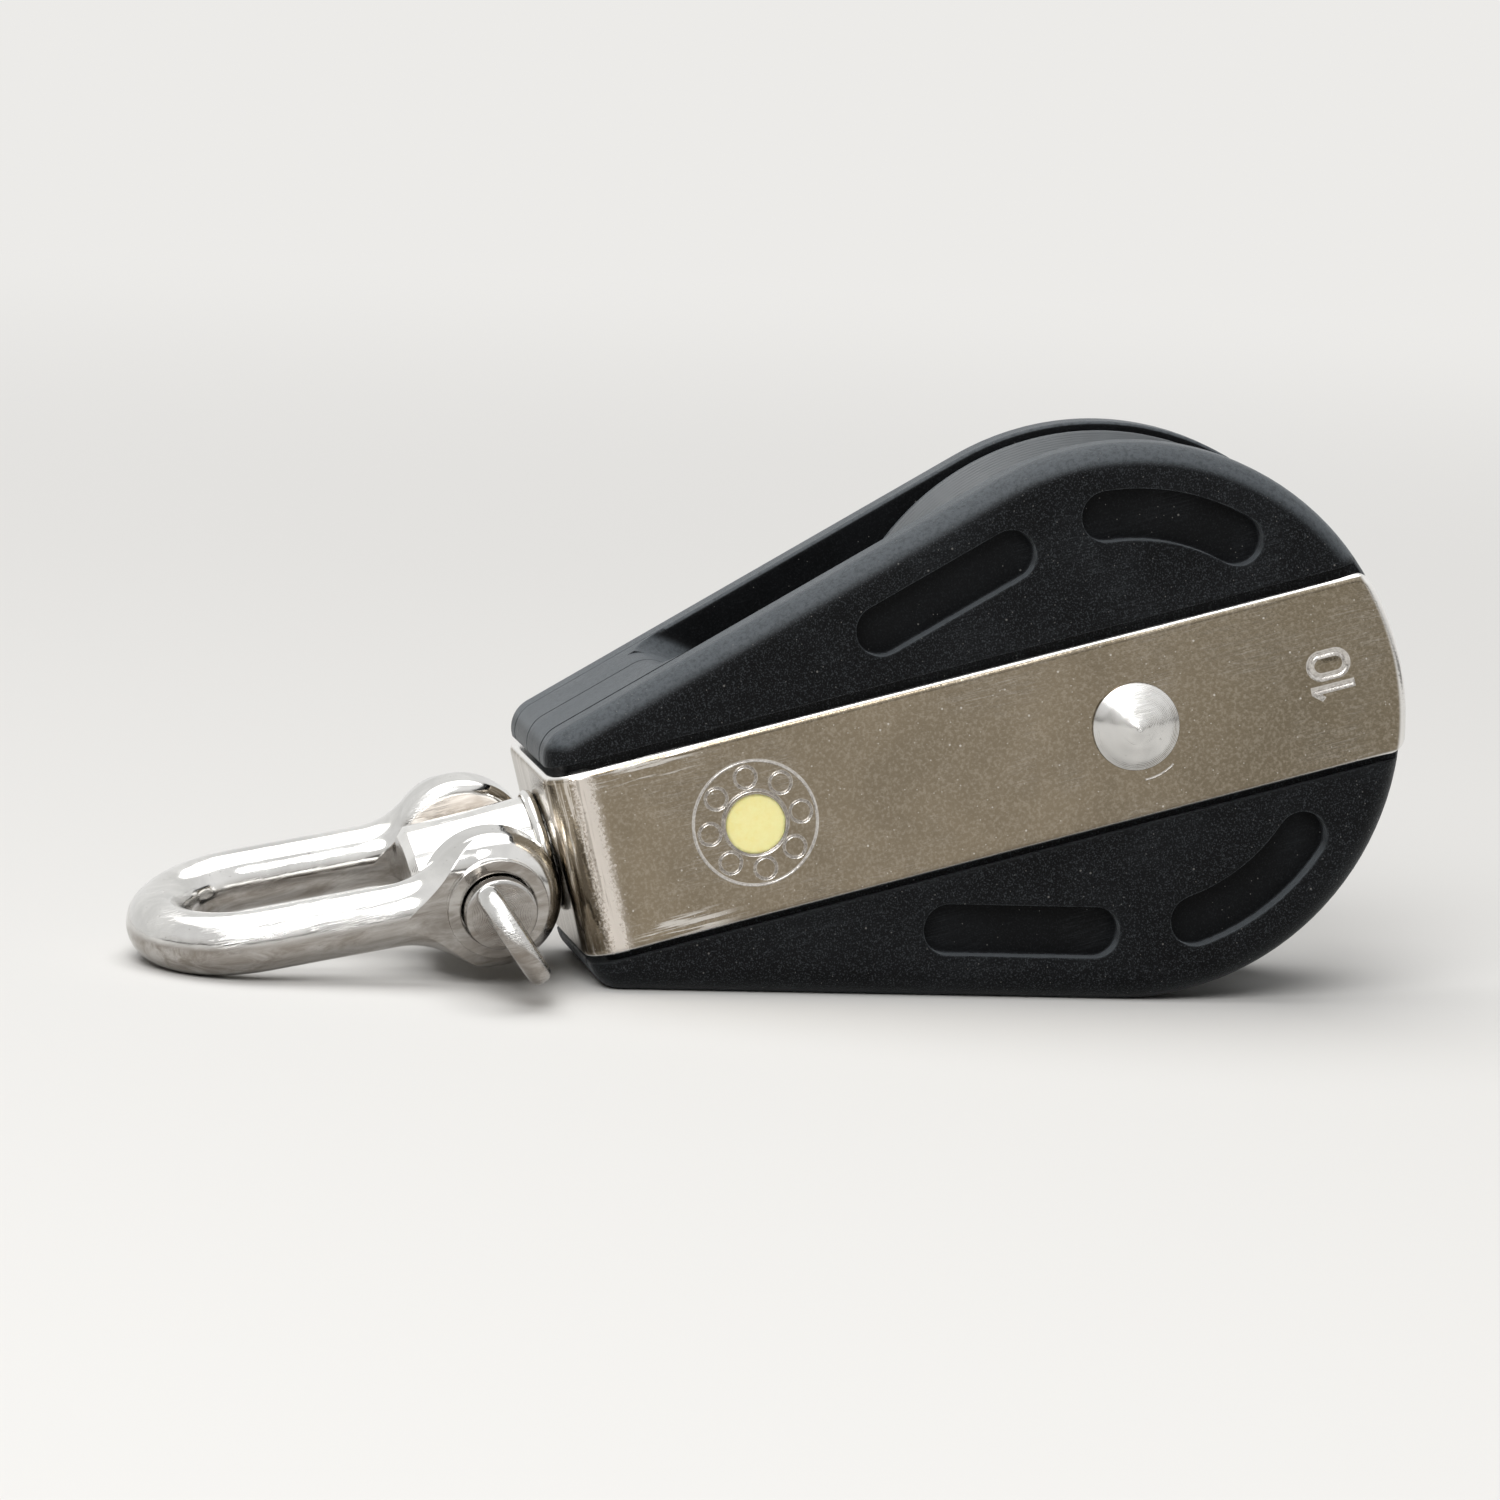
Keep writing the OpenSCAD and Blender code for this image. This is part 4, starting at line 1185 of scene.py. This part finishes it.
def light_world(studio):
    """Even pale light. Metal sees it white overhead and behind, with a dark band low in front."""
    world = bpy.data.worlds.new("studio")
    bpy.context.scene.world = world
    world.use_nodes = True
    tree = world.node_tree
    back = next(n for n in tree.nodes if n.type == "BACKGROUND")
    place = tree.nodes.new("ShaderNodeTexCoord")
    axes = split_axes(tree, place.outputs["Generated"])
    # Bounds of the bands, as the sine of a direction's height or depth
    low = ramp(tree, axes["Z"], 0.03, 0.11)
    high = ramp(tree, axes["Z"], 0.12, 0.42)
    room = mix_colour(tree, high, mix_colour(tree, low, ROOM_LINE, ROOM_WALL), ROOM_TOP)
    behind = ramp(tree, axes["Y"], -0.1, 0.4)
    sky = mix_colour(tree, behind, room, ROOM_BACK)
    path = tree.nodes.new("ShaderNodeLightPath")
    sky = mix_colour(tree, path.outputs["Is Camera Ray"], sky, studio.far_colour)
    link(tree, sky, back.inputs["Color"])
    strength = ramp(tree, seen_ray(tree), 0.0, 1.0, studio.world_strength, 0.95)
    link(tree, strength, back.inputs["Strength"])


def hang_lamp(name, place, width, power):
    data = bpy.data.lights.new(name, "AREA")
    data.shape = "DISK"
    data.size = width
    data.energy = power
    lamp = bpy.data.objects.new(name, data)
    lamp.location = place
    lamp.rotation_euler = (Vector(LAMP_AIM) - Vector(place)).to_track_quat("-Z", "Y").to_euler()
    bpy.context.scene.collection.objects.link(lamp)


def set_camera():
    data = bpy.data.cameras.new("camera")
    data.sensor_fit = "HORIZONTAL"
    data.sensor_width = 36.0
    data.lens = LENS_MM
    data.clip_start = 0.05
    data.clip_end = 50.0
    camera = bpy.data.objects.new("camera", data)
    right = CAMERA_RIGHT.normalized()
    back = right.cross(CAMERA_UP).normalized()
    turn = Matrix((right, back.cross(right), back)).transposed().to_4x4()
    camera.matrix_world = Matrix.Translation(CAMERA_AT) @ turn
    bpy.context.scene.collection.objects.link(camera)
    bpy.context.scene.camera = camera


class BLOCK_PT_sidebar(bpy.types.Panel):
    """Lists the steps that dress the block."""

    bl_idname = "BLOCK_PT_sidebar"
    bl_label = "Sailing block"
    bl_space_type = "VIEW_3D"
    bl_region_type = "UI"
    bl_category = "Sailing block"

    def draw(self, context):
        for step in STEPS:
            self.layout.operator(step.bl_idname)
        for name, kind in SETTINGS.items():
            box = self.layout.box()
            box.label(text=kind.__doc__)
            for field in kind.__annotations__:
                box.prop(getattr(context.scene, name), field)


STEPS = (
    BLOCK_OT_finish_casing,
    BLOCK_OT_finish_steel,
    BLOCK_OT_finish_bearing,
    BLOCK_OT_finish_markers,
    BLOCK_OT_round_strap,
    BLOCK_OT_turn_pin,
    BLOCK_OT_stamp_bearing_mark,
    BLOCK_OT_stamp_rope_size,
    BLOCK_OT_press_axle_rings,
    BLOCK_OT_set_stage,
)
SETTINGS = {
    "casing_finish": CasingFinish,
    "steel_finish": SteelFinish,
    "stamped_marks": StampedMarks,
    "studio_light": StudioLight,
}


def register():
    for kind in (*SETTINGS.values(), *STEPS, BLOCK_PT_sidebar):
        bpy.utils.register_class(kind)
    for name, kind in SETTINGS.items():
        setattr(bpy.types.Scene, name, bpy.props.PointerProperty(type=kind))


def unregister():
    for name in SETTINGS:
        delattr(bpy.types.Scene, name)
    for kind in reversed((*SETTINGS.values(), *STEPS, BLOCK_PT_sidebar)):
        bpy.utils.unregister_class(kind)


def main():
    register()
    make_groups()
    bpy.ops.block.finish_casing()
    bpy.ops.block.finish_steel()
    bpy.ops.block.finish_bearing()
    bpy.ops.block.finish_markers()
    bpy.ops.block.round_strap()
    bpy.ops.block.turn_pin()
    bpy.ops.block.stamp_bearing_mark()
    bpy.ops.block.stamp_rope_size()
    bpy.ops.block.press_axle_rings()
    bpy.ops.block.set_stage()


if __name__ == "__main__":
    main()
